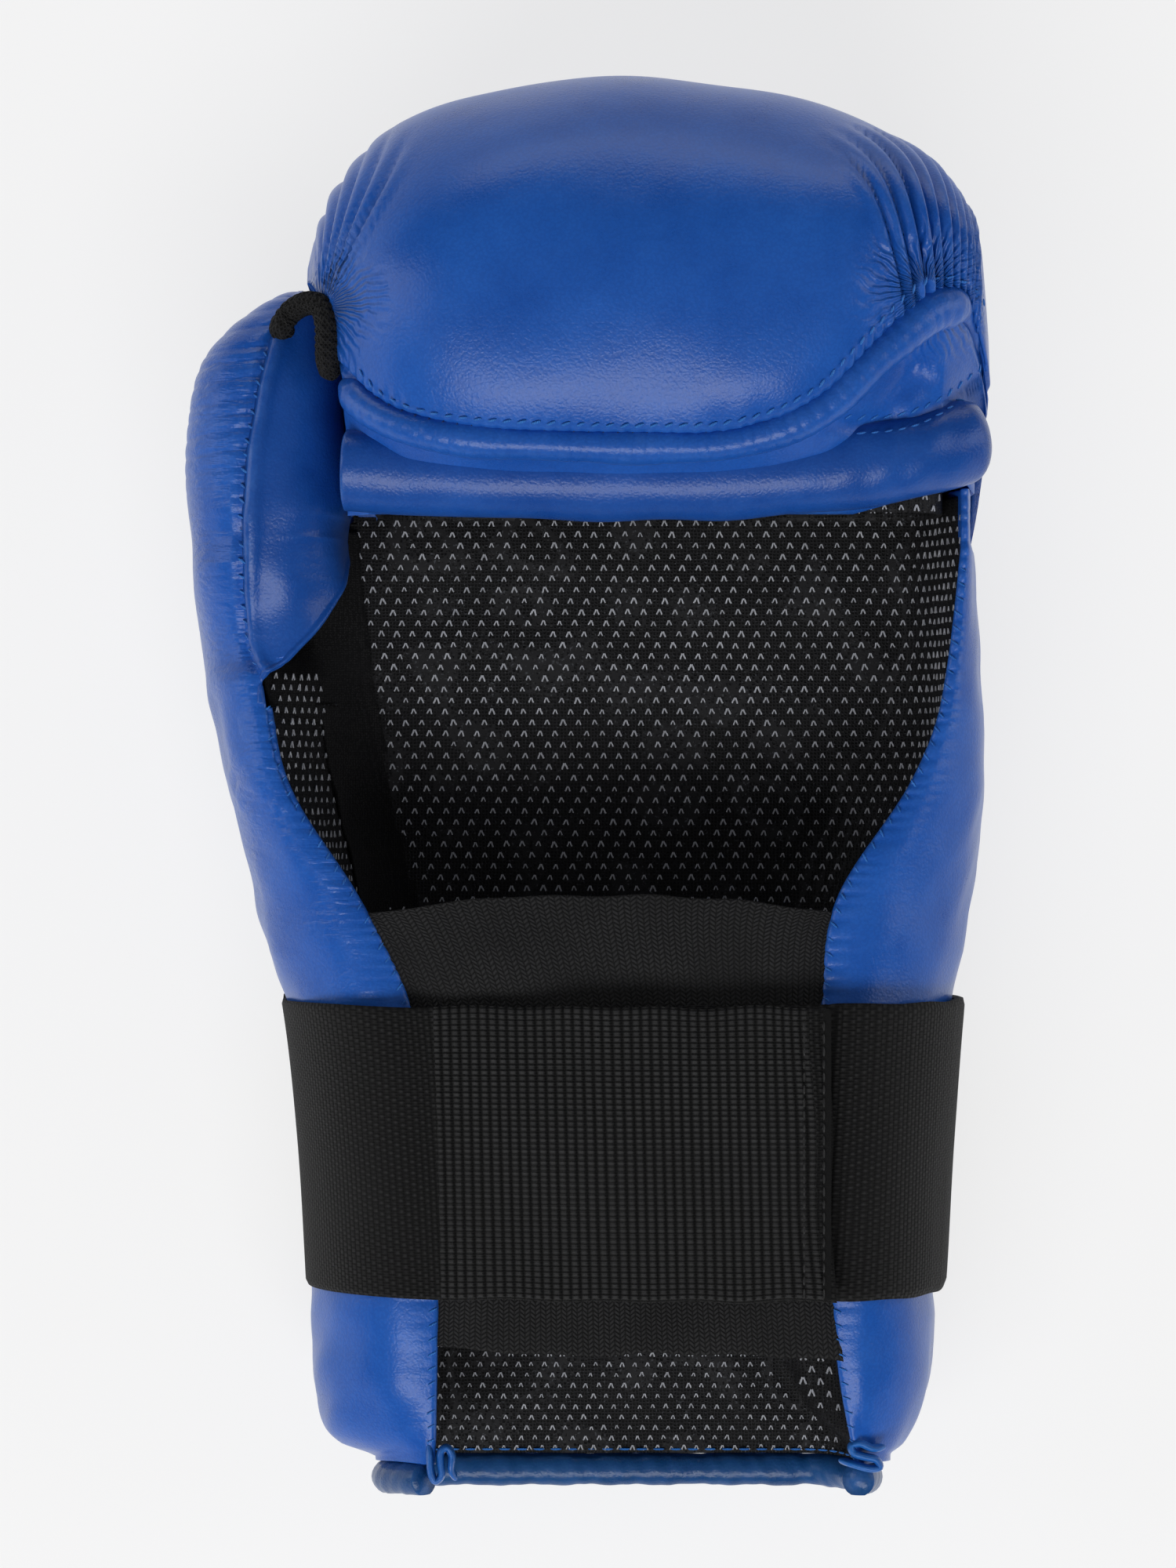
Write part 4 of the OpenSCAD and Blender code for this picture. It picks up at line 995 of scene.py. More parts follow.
def strap_tail(material):
    ys = strap_rows()
    paths = []
    for y in ys:
        outer, _ = tray(np.array([y]))
        up = climb(above(outer[0, :HALF - 1][::-1], JOIN_Z))
        high = TAIL_Z - WALL_GAP
        top = [(-17, mix(BASE_Z, TAIL_Z, 0.22)), (-9, mix(BASE_Z, TAIL_Z, 0.42)), (BASE_END - 4, high - 0.15),
               (BASE_END + 4, high), (24, high), (TAIL_END, high)]
        paths.append(softened(resample(np.vstack([up, top]), count=500), reach=22))
    mid = fine_curve(paths[len(ys) // 2], lambda x: 0.2 if RIB_LEFT - 1 < x < RIB_RIGHT + 1 else 0.75)
    share = path_length(mid) / path_length(mid)[-1]
    grid, heights = [], []
    for y, path in zip(ys, paths):
        s = path_length(path) / path_length(path)[-1]
        p = sample(path, s, share)
        across_x = p[:, 0] + 0.03 * (y - STRAP_Y)
        ribbed = between(across_x, RIB_LEFT, RIB_LEFT + 0.8, RIB_RIGHT - 1.2, RIB_RIGHT - 0.2)
        rib = np.abs(np.sin(math.pi * (across_x - RIB_LEFT) / RIB_PITCH)) ** 0.8 - 0.5
        heights.append(np.where(ribbed > 0.5, rib + 0.5, FLAT_WEAVE))
        v = abs(y - STRAP_Y) / (STRAP_W / 2)
        edge = -0.35 * max(0.0, (v - 0.975) / 0.025)
        wave = 0.25 * waves(pair(p[:, 0], y), 34, 81)
        out = offset_curve(p, WALL_GAP + STRAP_T - 0.35 + 0.6 * rib * ribbed + edge)
        out[:, 1] += wave * step(p[:, 0], -46, -34)
        # The free end and both edges stray a little from straight
        out[:, 0] += (0.35 * np.sin(y / 5.3) + 1.2 * (STRAP_Y - y) / STRAP_W) * step(p[:, 0], 30, 42)
        grid.append(strap_row(out, y, pair(p[:, 0], 0.0), 0.22, 82))
    grid = np.array(grid)
    obj = make("strap_tail_webbing", *sheet(grid, 1.25), material)
    heights = np.array(heights)
    attribute(obj, "rib", np.concatenate([np.concatenate([heights, heights[:, ::-1]], 1).ravel(), [FLAT_WEAVE] * 2]))
    sheet_uv(obj, path_length(mid), ys)
    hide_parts("strap_tail")
    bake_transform(obj)
    return obj


def base_paths(ys):
    """Sections of the base strap, from its sewn joint round the back and the right side to its end."""
    paths = []
    for y in ys:
        outer, _ = tray(np.array([y]))
        c = outer[0]
        left = above(c[c[:, 0] <= 0][::-1], -9)
        left = left[:int(np.argmax(left[:, 1] > JOIN_Z))]
        crossing = above(c[:HALF - 1][::-1], JOIN_Z)[:1] + [0, -0.15]
        left = np.vstack([left, crossing])[::-1]
        right = climb(c[c[:, 0] > 0])
        top = [(mix(BASE_END, MOUTH_RIGHT, 0.5), BASE_Z - WALL_GAP), (BASE_END, BASE_Z - WALL_GAP)]
        paths.append(resample(np.vstack([left, right, top]), count=460))
    return paths


def strap_base(material):
    ys = strap_rows(44)
    grid = []
    for y, path in zip(ys, base_paths(ys)):
        v = abs(y - STRAP_Y) / (STRAP_W / 2)
        out = offset_curve(path, -(WALL_GAP + STRAP_T - 0.35 - 0.35 * max(0.0, (v - 0.97) / 0.03)))
        wave = 0.18 * waves(pair(path[:, 0], y), 30, 83)
        out[:, 1] += wave * (path[:, 1] > 40)
        # Pressed flat under the loop tape
        under = between(out[:, 0], 4, 7, 40.5, 43.5)
        out[:, 1] = mix(out[:, 1], np.minimum(out[:, 1], BASE_Z + 0.95), under)
        grid.append(strap_row(out, y, path, 0.25, 84))
    grid = np.array(grid)
    obj = make("strap_base_webbing", *sheet(grid, 1.25), material)
    attribute(obj, "rib", FLAT_WEAVE)
    sheet_uv(obj, path_length(grid[len(ys) // 2]), ys)
    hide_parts("strap_base")
    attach(obj, "hand")
    return obj


def patch(name, x0, x1, z, thick, material, body, node, width=47.0, round_off=2.0):
    """Thin cloth patch with rounded corners that lies across the strap."""
    corners = []
    for cx, cy, a in ((x1 - round_off, width / 2 - round_off, 0), (x0 + round_off, width / 2 - round_off, 90),
                      (x0 + round_off, -width / 2 + round_off, 180), (x1 - round_off, -width / 2 + round_off, 270)):
        for q in range(0, 91, 15):
            r = math.radians(a + q)
            corners.append((cx + round_off * math.cos(r), STRAP_Y + cy + round_off * math.sin(r)))
    outline = resample(np.array(corners + corners[:1]), 160)[:-1]
    rings = []
    for level, inset in ((0, 0.35), (0.2, 0), (0.8, 0), (1, 0.35)):
        c = outline - unit(outline - [(x0 + x1) / 2, STRAP_Y]) * inset
        rings.append(lifted(c, z + thick * level))
    obj = make(name, *loft(np.array(rings)), material, smooth_faces=False)
    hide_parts(node)
    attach(obj, body)
    return obj


def tail_hem(material):
    obj = patch("tail_hem_fold", TAIL_END - 1.5, TAIL_END - 0.1, TAIL_Z + STRAP_T - 0.1, 0.45, material,
                "tail", "tail_hem", width=50.4, round_off=0.5)
    attribute(obj, "rib", 0.6)
    return obj


ELASTIC_TOP, ELASTIC_LEN, ELASTIC_W = -19.5, 80.0, 72


def wrist_elastic(material):
    v = np.linspace(0, 1, 150)
    n = 150
    grid = []
    for t in v:
        y = ELASTIC_TOP - ELASTIC_LEN * t
        left = [-smooth(LEFT_ROWS, y, 2), smooth(LEFT_ROWS, y, 3)]
        right = [smooth(RIGHT_ROWS, y, 2), smooth(RIGHT_ROWS, y, 3)]
        s = np.linspace(0, 1, n)
        x = mix(left[0] - 1.2, right[0] + 1.2, s)
        bow = 4 * s * (1 - s)
        z = mix(left[1], right[1], s) - 2.0 + 2.6 * step(np.minimum(s, 1 - s), 0.0, 0.16)
        # The free edges rise and dip between the rims
        top_pull = 3.6 * (1 - bow) * math.exp(-t * 14)
        low_pull = 2.4 * (1 - bow) * math.exp(-(1 - t) * 14) * np.where(s > 0.5, -0.6, 0.6)
        yy = y - top_pull + low_pull * (1 - bow) + 0.3 * waves(pair(x, t * 3), 24, 91)
        z = z - 0.5 * bow + 0.25 * waves(pair(x, yy), 20, 92)
        grid.append(np.stack([x, yy, z], 1))
    grid = np.array(grid)
    obj = make("wrist_elastic_knit", *sheet(grid, 1.4), material)
    sheet_uv(obj, np.linspace(0, ELASTIC_W, n), v * ELASTIC_LEN)
    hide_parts("wrist_elastic")
    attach(obj, "hand")
    return obj


# ---------------------------------------------------------------- the cuff binding
BINDING_Y = CUFF_Y - GAP - 2.8


def binding_path():
    """Middle line in XZ of the tray's open end, from the left rim round the back to the right rim."""
    outer, inner = tray(np.array([CUFF_Y]))
    return (inner + unit(outer - inner) * EDGE_T / 2)[0]


def cuff_binding(material):
    p = resample(binding_path(), 330)[3:-3]
    path = lean(np.insert(p, 1, BINDING_Y, axis=1))
    s = path_length(path)
    rings = tube(path, 2.95, 3.0, 22, (0, 1, 0))
    ang = circle(22)[None]
    crease = np.sin(math.pi * (s[:, None] + 2.2 * np.sin(ang) + 0.5 * waves(path, 9, 95)[:, None]) / 1.9)
    push = 0.05 * crease + 0.12 * waves(path, 12, 96)[:, None]
    push = push - 0.35 * np.exp(-((np.abs(ang - math.pi * 1.5)) / 0.18) ** 2)
    obj = make("cuff_binding_leather", *loft(pushed(rings, push)), material)
    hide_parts("cuff_binding")
    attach(obj, "hand")
    return obj


def binding_end(side, material):
    """Folded end of the binding, which laps over the rim's sewn edge."""
    name = "binding_end_left" if side < 0 else "binding_end_right"
    # A strip of raw edge folded over the rim in three plies, drawn as a tight S seen from above
    spot, turn = ((-26.6, -119.4), math.radians(-6)) if side < 0 else ((48.4, -118.6), math.radians(66))
    high = binding_path()[0 if side < 0 else -1][1] + 1.5
    fold = [(-1.8, 3.4, -2.0), (-1.5, 1.6, 0.1), (-0.9, -1.6, 0.6), (0, -2.9, 0.5), (0.9, -1.8, 0.5), (0.5, 0.6, 0.6),
            (0.4, 2.3, 0.5), (1.3, 3.1, 0.3), (2.3, 2.0, 0.1), (2.4, -0.4, -0.2), (3.2, -2.0, -2.2)]
    c, s = math.cos(turn), math.sin(turn)
    line = curve_through([(spot[0] + x * c - y * s, spot[1] + x * s + y * c, high + z) for x, y, z in fold], 90)
    ends = rounded(np.arange(90), 5, 0.1)
    rings = tube(line, 0.7 * ends, 1.8 * ends, 16, (0, 0, 1))
    obj = make(name + "_fold", *loft(rings), material)
    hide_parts(name)
    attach(obj, "hand")
    return obj


# ---------------------------------------------------------------- what repeats: stitches and mesh marks
def carrier(name, points, along, up, size):
    """Mesh of bare points that carry what is placed on them: its direction, normal and size, each given
    for every point or once for all."""
    mesh = bpy.data.meshes.new(name)
    mesh.from_pydata((np.asarray(points, float) * MM).tolist(), [], [])
    for key, values in (("along", along), ("up", up)):
        data = mesh.attributes.new(key, "FLOAT_VECTOR", "POINT").data
        data.foreach_set("vector", np.broadcast_to(np.asarray(values, float), (len(points), 3)).ravel())
    mesh.attributes.new("size", "FLOAT", "POINT").data.foreach_set(
        "value", np.broadcast_to(np.asarray(size, float), len(points)).copy())
    return add_object(name, mesh)


def tree_node(tree, kind, inputs=None, **props):
    """A new node, with its inputs linked where a socket is given and set where a value is."""
    n = tree.nodes.new(kind)
    for key, value in props.items():
        setattr(n, key, value)
    for key, value in (inputs or {}).items():
        socket, value = n.inputs[key], getattr(value, "socket", value)
        if isinstance(value, bpy.types.NodeSocket):
            tree.links.new(value, socket)
        else:
            socket.default_value = (*value, 1) if socket.type == "RGBA" else value
    return n


def thread_capsule(tree, size):
    ball = tree_node(tree, "GeometryNodeMeshUVSphere", {"Segments": 8, "Rings": 6, "Radius": 0.5})
    return tree_node(tree, "GeometryNodeTransform", {"Geometry": ball.outputs[0], "Scale": size,
                                                    "Rotation": (0, 0, 0)}).outputs[0]


def upturned_v(tree, size):
    """Two threads that meet at the top."""
    bar = tree_node(tree, "GeometryNodeMeshCube", {"Size": size})
    join = tree_node(tree, "GeometryNodeJoinGeometry")
    for s in (-1, 1):
        leg = tree_node(tree, "GeometryNodeTransform", {
            "Geometry": bar.outputs[0], "Rotation": (0, 0, -s * math.radians(23)),
            "Translation": (0, s * 0.25 * MM, (0.02 * s + 0.02) * MM)})
        tree.links.new(leg.outputs[0], join.inputs[0])
    return join.outputs[0]


def spread_tree(name, shape):
    """Lays a shape on every point: shape is a function that makes it in a tree, from a size."""
    tree = bpy.data.node_groups.new(name, "GeometryNodeTree")
    for key, kind in (("Geometry", "Geometry"), ("Length", "Float"), ("Width", "Float"), ("Height", "Float"),
                      ("Material", "Material")):
        tree.interface.new_socket(key, in_out="INPUT", socket_type="NodeSocket" + kind)
    tree.interface.new_socket("Geometry", in_out="OUTPUT", socket_type="NodeSocketGeometry")
    source = tree_node(tree, "NodeGroupInput").outputs
    size = tree_node(tree, "ShaderNodeCombineXYZ", {k: source[k + 1] for k in range(3)})
    along, up, scale = (
        tree_node(tree, "GeometryNodeInputNamedAttribute", {"Name": key}, data_type=kind).outputs[0]
        for key, kind in (("along", "FLOAT_VECTOR"), ("up", "FLOAT_VECTOR"), ("size", "FLOAT")))
    turn = tree_node(tree, "FunctionNodeAxesToRotation", {"Primary Axis": along, "Secondary Axis": up},
                     primary_axis="X", secondary_axis="Z")
    points = tree_node(tree, "GeometryNodeInstanceOnPoints", {
        "Points": source[0], "Instance": shape(tree, size.outputs[0]), "Rotation": turn.outputs[0], "Scale": scale})
    real = tree_node(tree, "GeometryNodeRealizeInstances", {0: points.outputs[0]})
    skin = tree_node(tree, "GeometryNodeSetMaterial", {"Geometry": real.outputs[0], "Material": source["Material"]})
    tree_node(tree, "NodeGroupOutput", {0: skin.outputs[0]})
    return tree


def spread(name, tree, points, along, up, size, length, width, height, material):
    """Places a tree's shape on every point and turns the result into one plain mesh."""
    obj = carrier(name, points, along, up, size)
    mod = obj.modifiers.new("spread", "NODES")
    mod.node_group = tree
    values = {"Length": length * MM, "Width": width * MM, "Height": height * MM, "Material": material}
    for item in tree.interface.items_tree:
        if item.item_type == "SOCKET" and item.in_out == "INPUT" and item.name in values:
            mod[item.identifier] = values[item.name]
    obj.update_tag()
    bpy.context.view_layer.update()
    mesh = bpy.data.meshes.new_from_object(obj.evaluated_get(bpy.context.evaluated_depsgraph_get()))
    obj.modifiers.clear()
    obj.data = mesh
    if not mesh.materials:
        mesh.materials.append(material)
    return obj


def surface_at(obj, xy, from_z=200.0):
    """Points and normals on a piece, straight down from above, for places in XY."""
    mesh = obj.data
    tree = BVHTree.FromPolygons([v.co[:] for v in mesh.vertices], [p.vertices[:] for p in mesh.polygons])
    hits, normals, found = [], [], []
    for x, y in np.asarray(xy):
        p, n, _, _ = tree.ray_cast((x * MM, y * MM, from_z * MM), (0, 0, -1))
        found.append(p is not None)
        hits.append([c / MM for c in p] if p else [x, y, 0])
        normals.append(list(n) if p else [0, 0, 1])
    return np.array(hits), np.array(normals), np.array(found)


def even_points(path, pitch):
    """Evenly spaced points on a path, and its direction at each."""
    s = path_length(path)
    q = np.arange(pitch / 2, s[-1], pitch)
    return sample(path, s, q), unit(sample(path, s, q + 0.3) - sample(path, s, q - 0.3))


def seam_stitches(name, obj, line, pitch, length, width, material, body, blend=None,
                  turn=0.0, proud=0.12):
    """A row of thread stitches laid on a piece along a line in XY, each turned from it by an angle."""
    p, t = even_points(np.asarray(line, float), pitch)
    hit, normal, ok = surface_at(obj, p)
    hit, normal, t = hit[ok], normal[ok], t[ok]
    t3 = lifted(t, 0)
    side = np.cross(normal, t3)
    a = math.radians(turn)
    along = unit(t3 * math.cos(a) + side * math.sin(a))
    along = unit(along - normal * (along * normal).sum(1, keepdims=True))
    r = np.random.default_rng(len(hit))
    sizes = 1 + 0.1 * r.normal(size=len(hit)).clip(-1, 1)
    out = spread(name, stitches, hit + normal * proud, along, normal, sizes, length, width, width * 0.8, material)
    if blend:
        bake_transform(out)
    else:
        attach(out, body)
    return out


# ---------------------------------------------------------------- materials
class Wire:
    """A value in a shader tree, which sums can be written with."""

    def __init__(self, socket):
        self.socket = socket

    def calc(self, op, other=0.5, clamp=False, swapped=False):
        a, b = (other, self) if swapped else (self, other)
        node = tree_node(self.socket.id_data, "ShaderNodeMath", {0: a, 1: b}, operation=op, use_clamp=clamp)
        return Wire(node.outputs[0])

    def remap(self, a, b, c=0.0, d=1.0):
        return Wire(tree_node(self.socket.id_data, "ShaderNodeMapRange", {
            "Value": self, "From Min": a, "From Max": b, "To Min": c, "To Max": d}).outputs[0])

    def __add__(self, other):
        return self.calc("ADD", other)

    def __sub__(self, other):
        return self.calc("SUBTRACT", other)

    def __rsub__(self, other):
        return self.calc("SUBTRACT", other, swapped=True)

    def __mul__(self, other):
        return self.calc("MULTIPLY", other)

    def __truediv__(self, other):
        return self.calc("DIVIDE", other)

    def __pow__(self, other):
        return self.calc("POWER", other)

    def __abs__(self):
        return self.calc("ABSOLUTE")


def sine(wire):
    return wire.calc("SINE", 0)


class Nodes:
    """Shader nodes of a new material or world. Lengths are in millimetres."""

    def __init__(self, owner):
        owner.use_nodes = True
        self.owner, self.tree = owner, owner.node_tree
        self.tree.nodes.clear()

    def add(self, kind, inputs=None, out=0, **props):
        return Wire(tree_node(self.tree, kind, inputs, **props).outputs[out])

    def place(self, kind="Object", scale=1 / MM, rotation=(0, 0, 0), stretch=(1, 1, 1)):
        return self.add("ShaderNodeMapping", {
            "Vector": self.add("ShaderNodeTexCoord", out=kind), "Scale": tuple(scale * c for c in stretch),
            "Rotation": rotation})

    def vector(self, op, a, b=(0, 0, 0), out=0):
        return self.add("ShaderNodeVectorMath", {0: a, 1: b}, out, operation=op)

    def split(self, vec):
        """The x and the y of a vector."""
        parts = tree_node(self.tree, "ShaderNodeSeparateXYZ", {0: vec}).outputs
        return Wire(parts[0]), Wire(parts[1])

    def noise(self, vec, size, detail=2.0, rough=0.5, distortion=0.0):
        return self.add("ShaderNodeTexNoise", {"Vector": vec, "Scale": 1 / size, "Detail": detail, "Roughness": rough,
                                               "Distortion": distortion}, "Fac")

    def cells(self, vec, size, feature="F1", **more):
        return self.add("ShaderNodeTexVoronoi", {"Vector": vec, "Scale": 1 / size, **more}, "Distance",
                        feature=feature)

    def blend(self, fac, a, b):
        return self.add("ShaderNodeMix", {0: fac, 6: a, 7: b}, 2, data_type="RGBA", blend_type="MIX")

    def bump(self, height, distance, under=None):
        inputs = {"Height": height, "Distance": distance * MM, "Strength": 1.0}
        return self.add("ShaderNodeBump", inputs if under is None else {**inputs, "Normal": under})

    def skin(self, colour, rough, specular, sheen=0.0, sheen_rough=0.5, **more):
        return self.add("ShaderNodeBsdfPrincipled", {
            "Base Color": colour, "Roughness": rough, "Specular IOR Level": specular, "Sheen Weight": sheen,
            "Sheen Roughness": sheen_rough, **more})

    def surface(self, wire):
        tree_node(self.tree, "ShaderNodeOutputMaterial", {0: wire})
        return self.owner


def material(name):
    return Nodes(bpy.data.materials.new(name))


def ring_wrinkles(m, vec, centre, count, inner, outer):
    """Height of fine wrinkles that run out from a point in XY, between two distances."""
    x, y = m.split(m.vector("SUBTRACT", vec, (*centre, 0)))
    reach = m.vector("LENGTH", m.add("ShaderNodeCombineXYZ", {0: x, 1: y, 2: 0.0}), out="Value")
    wave = sine((y.calc("ARCTAN2", x) + m.noise(vec, 7, 2) * 0.5) * count)
    return wave * reach.remap(inner * 0.5, inner) * reach.remap(outer, inner)


def leather(name="blue leather", deep=(0.0085, 0.08, 0.385), light=(0.0145, 0.108, 0.47), wrinkled=True, creased=0.0):
    m = material(name)
    vec = m.place()
    warp = m.add("ShaderNodeTexNoise", {"Vector": vec, "Scale": 1.4, "Detail": 1.0}, "Color")
    bent = m.vector("ADD", vec, m.vector("MULTIPLY", warp, (0.5, 0.5, 0.5)))
    pebble = m.cells(bent, 0.55, "SMOOTH_F1", Smoothness=0.4, Randomness=0.9)
    folds = m.cells(bent, 1.5, "DISTANCE_TO_EDGE", Randomness=1.0).remap(0.0, 0.14)
    fine, tone = m.noise(vec, 0.3, 2, 0.6), m.noise(vec, 17, 4, 0.6)
    base = m.blend(tone.remap(0.3, 0.7), deep, light)
    # Painted highlight: convex ridges are lightened in patches
    ridge_highlight = m.add("ShaderNodeNewGeometry", out="Pointiness").remap(0.5, 0.56)
    ridge_highlight = ridge_highlight.calc("MULTIPLY", m.noise(vec, 3, 4).remap(0.35, 0.7), clamp=True)
    base = m.blend(ridge_highlight * 0.35, base, (0.07, 0.2, 0.55))
    # Painted shade: the grain's valleys are darkened
    base = m.blend(pebble.remap(0.35, 0.62, 0.0, 0.16), base, (0.007, 0.035, 0.2))
    rough = (fine + tone).remap(0.7, 1.3, 0.26, 0.35)
    normal = m.bump(m.noise(vec, 16, 2, 0.4, 0.1), 0.35)
    if wrinkled:
        crinkle = ring_wrinkles(m, vec, (-46, 83), 40, 3, 13) + ring_wrinkles(m, vec, (58, 84.5), 42, 3, 14)
        normal = m.bump(crinkle, 0.3, normal)
    if creased:
        # Fine creases across the thumb and the side wall, in patches
        lines = m.noise(m.place(stretch=(0.14, 1.0, 0.3), rotation=(0, 0, -0.2)), 1.1, 2, 0.5, 0.4)
        x, y = m.split(vec)
        patches = m.noise(vec, 20, 2).remap(0.35, 0.6, 0.1, 1.0) * x.remap(-25, -40) * y.remap(-60, -25)
        normal = m.bump(lines * patches, creased, normal)
    normal = m.bump(fine, 0.008, m.bump(1.0 - pebble, 0.035, m.bump(folds, 0.008, normal)))
    return m.surface(m.skin(base, rough, 0.3, Normal=normal))


def mesh_cloth():
    """Black spacer mesh: small dark holes between fine threads."""
    m = material("black spacer mesh")
    vec = m.place()
    web = m.cells(vec, 0.62, "DISTANCE_TO_EDGE", Randomness=0.35).remap(0.12, 0.3, 1.0, 0.0)
    glint = m.noise(vec, 0.5, 2).remap(0.62, 0.72)
    base = m.blend(web, (0.0022, 0.0022, 0.0026), (0.011, 0.011, 0.0125))
    base = m.blend(glint * web, base, (0.055, 0.058, 0.066))
    normal = m.bump(web, 0.22, m.bump(m.noise(vec, 6, 2), 0.3))
    return m.surface(m.skin(base, 0.66, 0.22, Normal=normal))


def knit_cloth():
    """Matte black fine knit."""
    m = material("black knit")
    vec = m.place()
    loops = m.cells(vec, 0.42, Randomness=0.45).remap(0.15, 0.55, 1.0, 0.0)
    base = m.blend(loops, (0.0035, 0.0035, 0.004), (0.018, 0.018, 0.019))
    base = m.blend(m.noise(vec, 8, 3).remap(0.35, 0.7, 0, 0.5), base, (0.005, 0.005, 0.006))
    normal = m.bump(loops, 0.1, m.bump(m.noise(vec, 5, 3), 0.5))
    return m.surface(m.skin(base, 0.85, 0.15, 0.03, Normal=normal))


# Pitch in millimetres of the webbing's cross threads, of its bars and of their columns
CROSS_PITCH, BAR_PITCH, COLUMN_PITCH = 0.49, 0.97, 1.08


def webbing():
    """Charcoal webbing: fine cross threads, and a flat weave of small bars."""
    m = material("charcoal webbing")
    u, v = m.split(m.place("UV", 1.0))
    vec = m.place()
    cross = abs(sine(v * (math.pi / CROSS_PITCH)))
    rib = m.add("ShaderNodeAttribute", out="Fac", attribute_name="rib")
    flat = rib.remap(1.2, 1.6)
    # On the flat weave each column is shifted by half a bar
    shift = (u / COLUMN_PITCH).calc("FLOOR") * (BAR_PITCH / 2)
    row = sine((v + shift * flat) * (math.pi / BAR_PITCH))
    bars = abs(row) * (row * 0.14 + 0.86)
    warp = abs(sine(u * (math.pi / COLUMN_PITCH))) ** 0.6 * 0.8
    column = warp * 0.85 * flat + rib.remap(0.15, 0.8) * (1.0 - flat)
    weave = bars ** 0.8 * column ** 1.6
    fuzz = m.noise(vec, 0.25, 3, 0.7)
    sharp = weave ** (flat * 1.3 + 1.0)
    light = m.blend(flat, (0.034, 0.0342, 0.035), (0.085, 0.0853, 0.087))
    base = m.blend(sharp, (0.0006, 0.0006, 0.0007), light)
    base = m.blend(m.noise(vec, 9, 4, 0.6).remap(0.35, 0.7, 0, 0.15), base, (0.007, 0.007, 0.0073))
    base = m.blend(fuzz.remap(0.5, 0.75, 0, 0.15), base, (0.017, 0.017, 0.018))
    normal = m.bump(fuzz, 0.08, m.bump(cross, 0.08, m.bump(weave, 0.36)))
    return m.surface(m.skin(base, 0.78, 0.2, 0.03, 0.45, Normal=normal))


LOOP_W, LOOP_PITCH = 0.9, 0.8       # columns and rows of the elastic's knitted loops, in millimetres


def elastic_knit():
    """Black elastic with slanted rows of knitted loops."""
    m = material("black elastic")
    u, v = m.split(m.place("UV", 1.0))
    vec = m.place()
    side = (u / LOOP_W).calc("FLOOR").calc("MODULO", 2.0) * 2.0 - 1.0
    local = (u / LOOP_W).calc("FRACT") - 0.5
    slant = v + local * side * 0.75
    knit = abs(sine(slant * (math.pi / LOOP_PITCH))) ** 0.8 * (1.0 - (abs(local) * 2.0) ** 4.0)
    fuzz = m.noise(vec, 0.2, 3, 0.7)
    base = m.blend(knit, (0.0015, 0.0015, 0.0017), (0.025, 0.025, 0.0262))
    base = m.blend(fuzz.remap(0.5, 0.78, 0, 0.5), base, (0.035, 0.035, 0.036))
    base = m.blend(m.noise(vec, 12, 3).remap(0.4, 0.7, 0, 0.4), base, (0.006, 0.006, 0.0065))
    normal = m.bump(fuzz, 0.06, m.bump(knit, 0.32, m.bump(m.noise(vec, 7, 2), 0.25)))
    return m.surface(m.skin(base, 0.82, 0.2, 0.03, Normal=normal))


def braid_cord():
    m = material("black braid")
    vec = m.place()
    u, v = m.split(m.place("UV", 1.0))
    weave = sine((u + v) * 8.0).calc("MAXIMUM", sine((u - v) * 8.0))
    fuzz = m.noise(vec, 0.25, 3, 0.7)
    base = m.blend(weave.remap(-0.6, 1.0), (0.0012, 0.0012, 0.0013), (0.011, 0.011, 0.0115))
    base = m.blend(fuzz.remap(0.52, 0.75, 0, 0.4), base, (0.018, 0.018, 0.019))
    return m.surface(m.skin(base, 0.8, 0.2, 0.03, Normal=m.bump(fuzz, 0.08, m.bump(weave, 0.2))))


def thread(name, deep, light, shine=0.35):
    """Twisted sewing thread."""
    m = material(name)
    vec = m.place(rotation=(0.3, 0.2, 0.8))
    x, y = m.split(vec)
    lay = sine((x + y) * 16.0).remap(-1, 1)
    base = m.blend(lay * m.noise(vec, 4, 2), deep, light)
    return m.surface(m.skin(base, 0.5, shine, 0.1, Normal=m.bump(lay, 0.05)))


def tape_cloth(name, size, uneven):
    """Hook or loop tape: a dense field of tiny knots."""
    m = material(name)
    vec = m.place()
    dots = m.cells(vec, size, Randomness=uneven)
    base = m.blend(dots.remap(0.1, 0.5), (0.03, 0.03, 0.032), (0.003, 0.003, 0.0035))
    base = m.blend(m.noise(vec, 5, 3).remap(0.4, 0.7, 0, 0.4), base, (0.012, 0.012, 0.013))
    return m.surface(m.skin(base, 0.85, 0.3, 0.2, Normal=m.bump(1.0 - dots, 0.35)))


def plain_floor():
    """Pale studio floor, with a faint mottle; the camera sees it partly lit from behind."""
    m = material("studio floor")
    base = m.blend(m.noise(m.place(), 60, 2), (0.875, 0.875, 0.88), (0.9, 0.9, 0.9))
    glow = m.add("ShaderNodeEmission", {"Color": (0.97, 0.97, 0.97), "Strength": 1.0})
    rays = tree_node(m.tree, "ShaderNodeLightPath").outputs
    camera_ray, glossy, through = (Wire(rays[f"Is {kind} Ray"]) for kind in ("Camera", "Glossy", "Transmission"))
    seen = camera_ray.calc("MAXIMUM", glossy.calc("MAXIMUM", through))
    return m.surface(m.add("ShaderNodeMixShader", {0: seen * 0.75, 1: m.skin(base, 0.85, 0.1), 2: glow}))


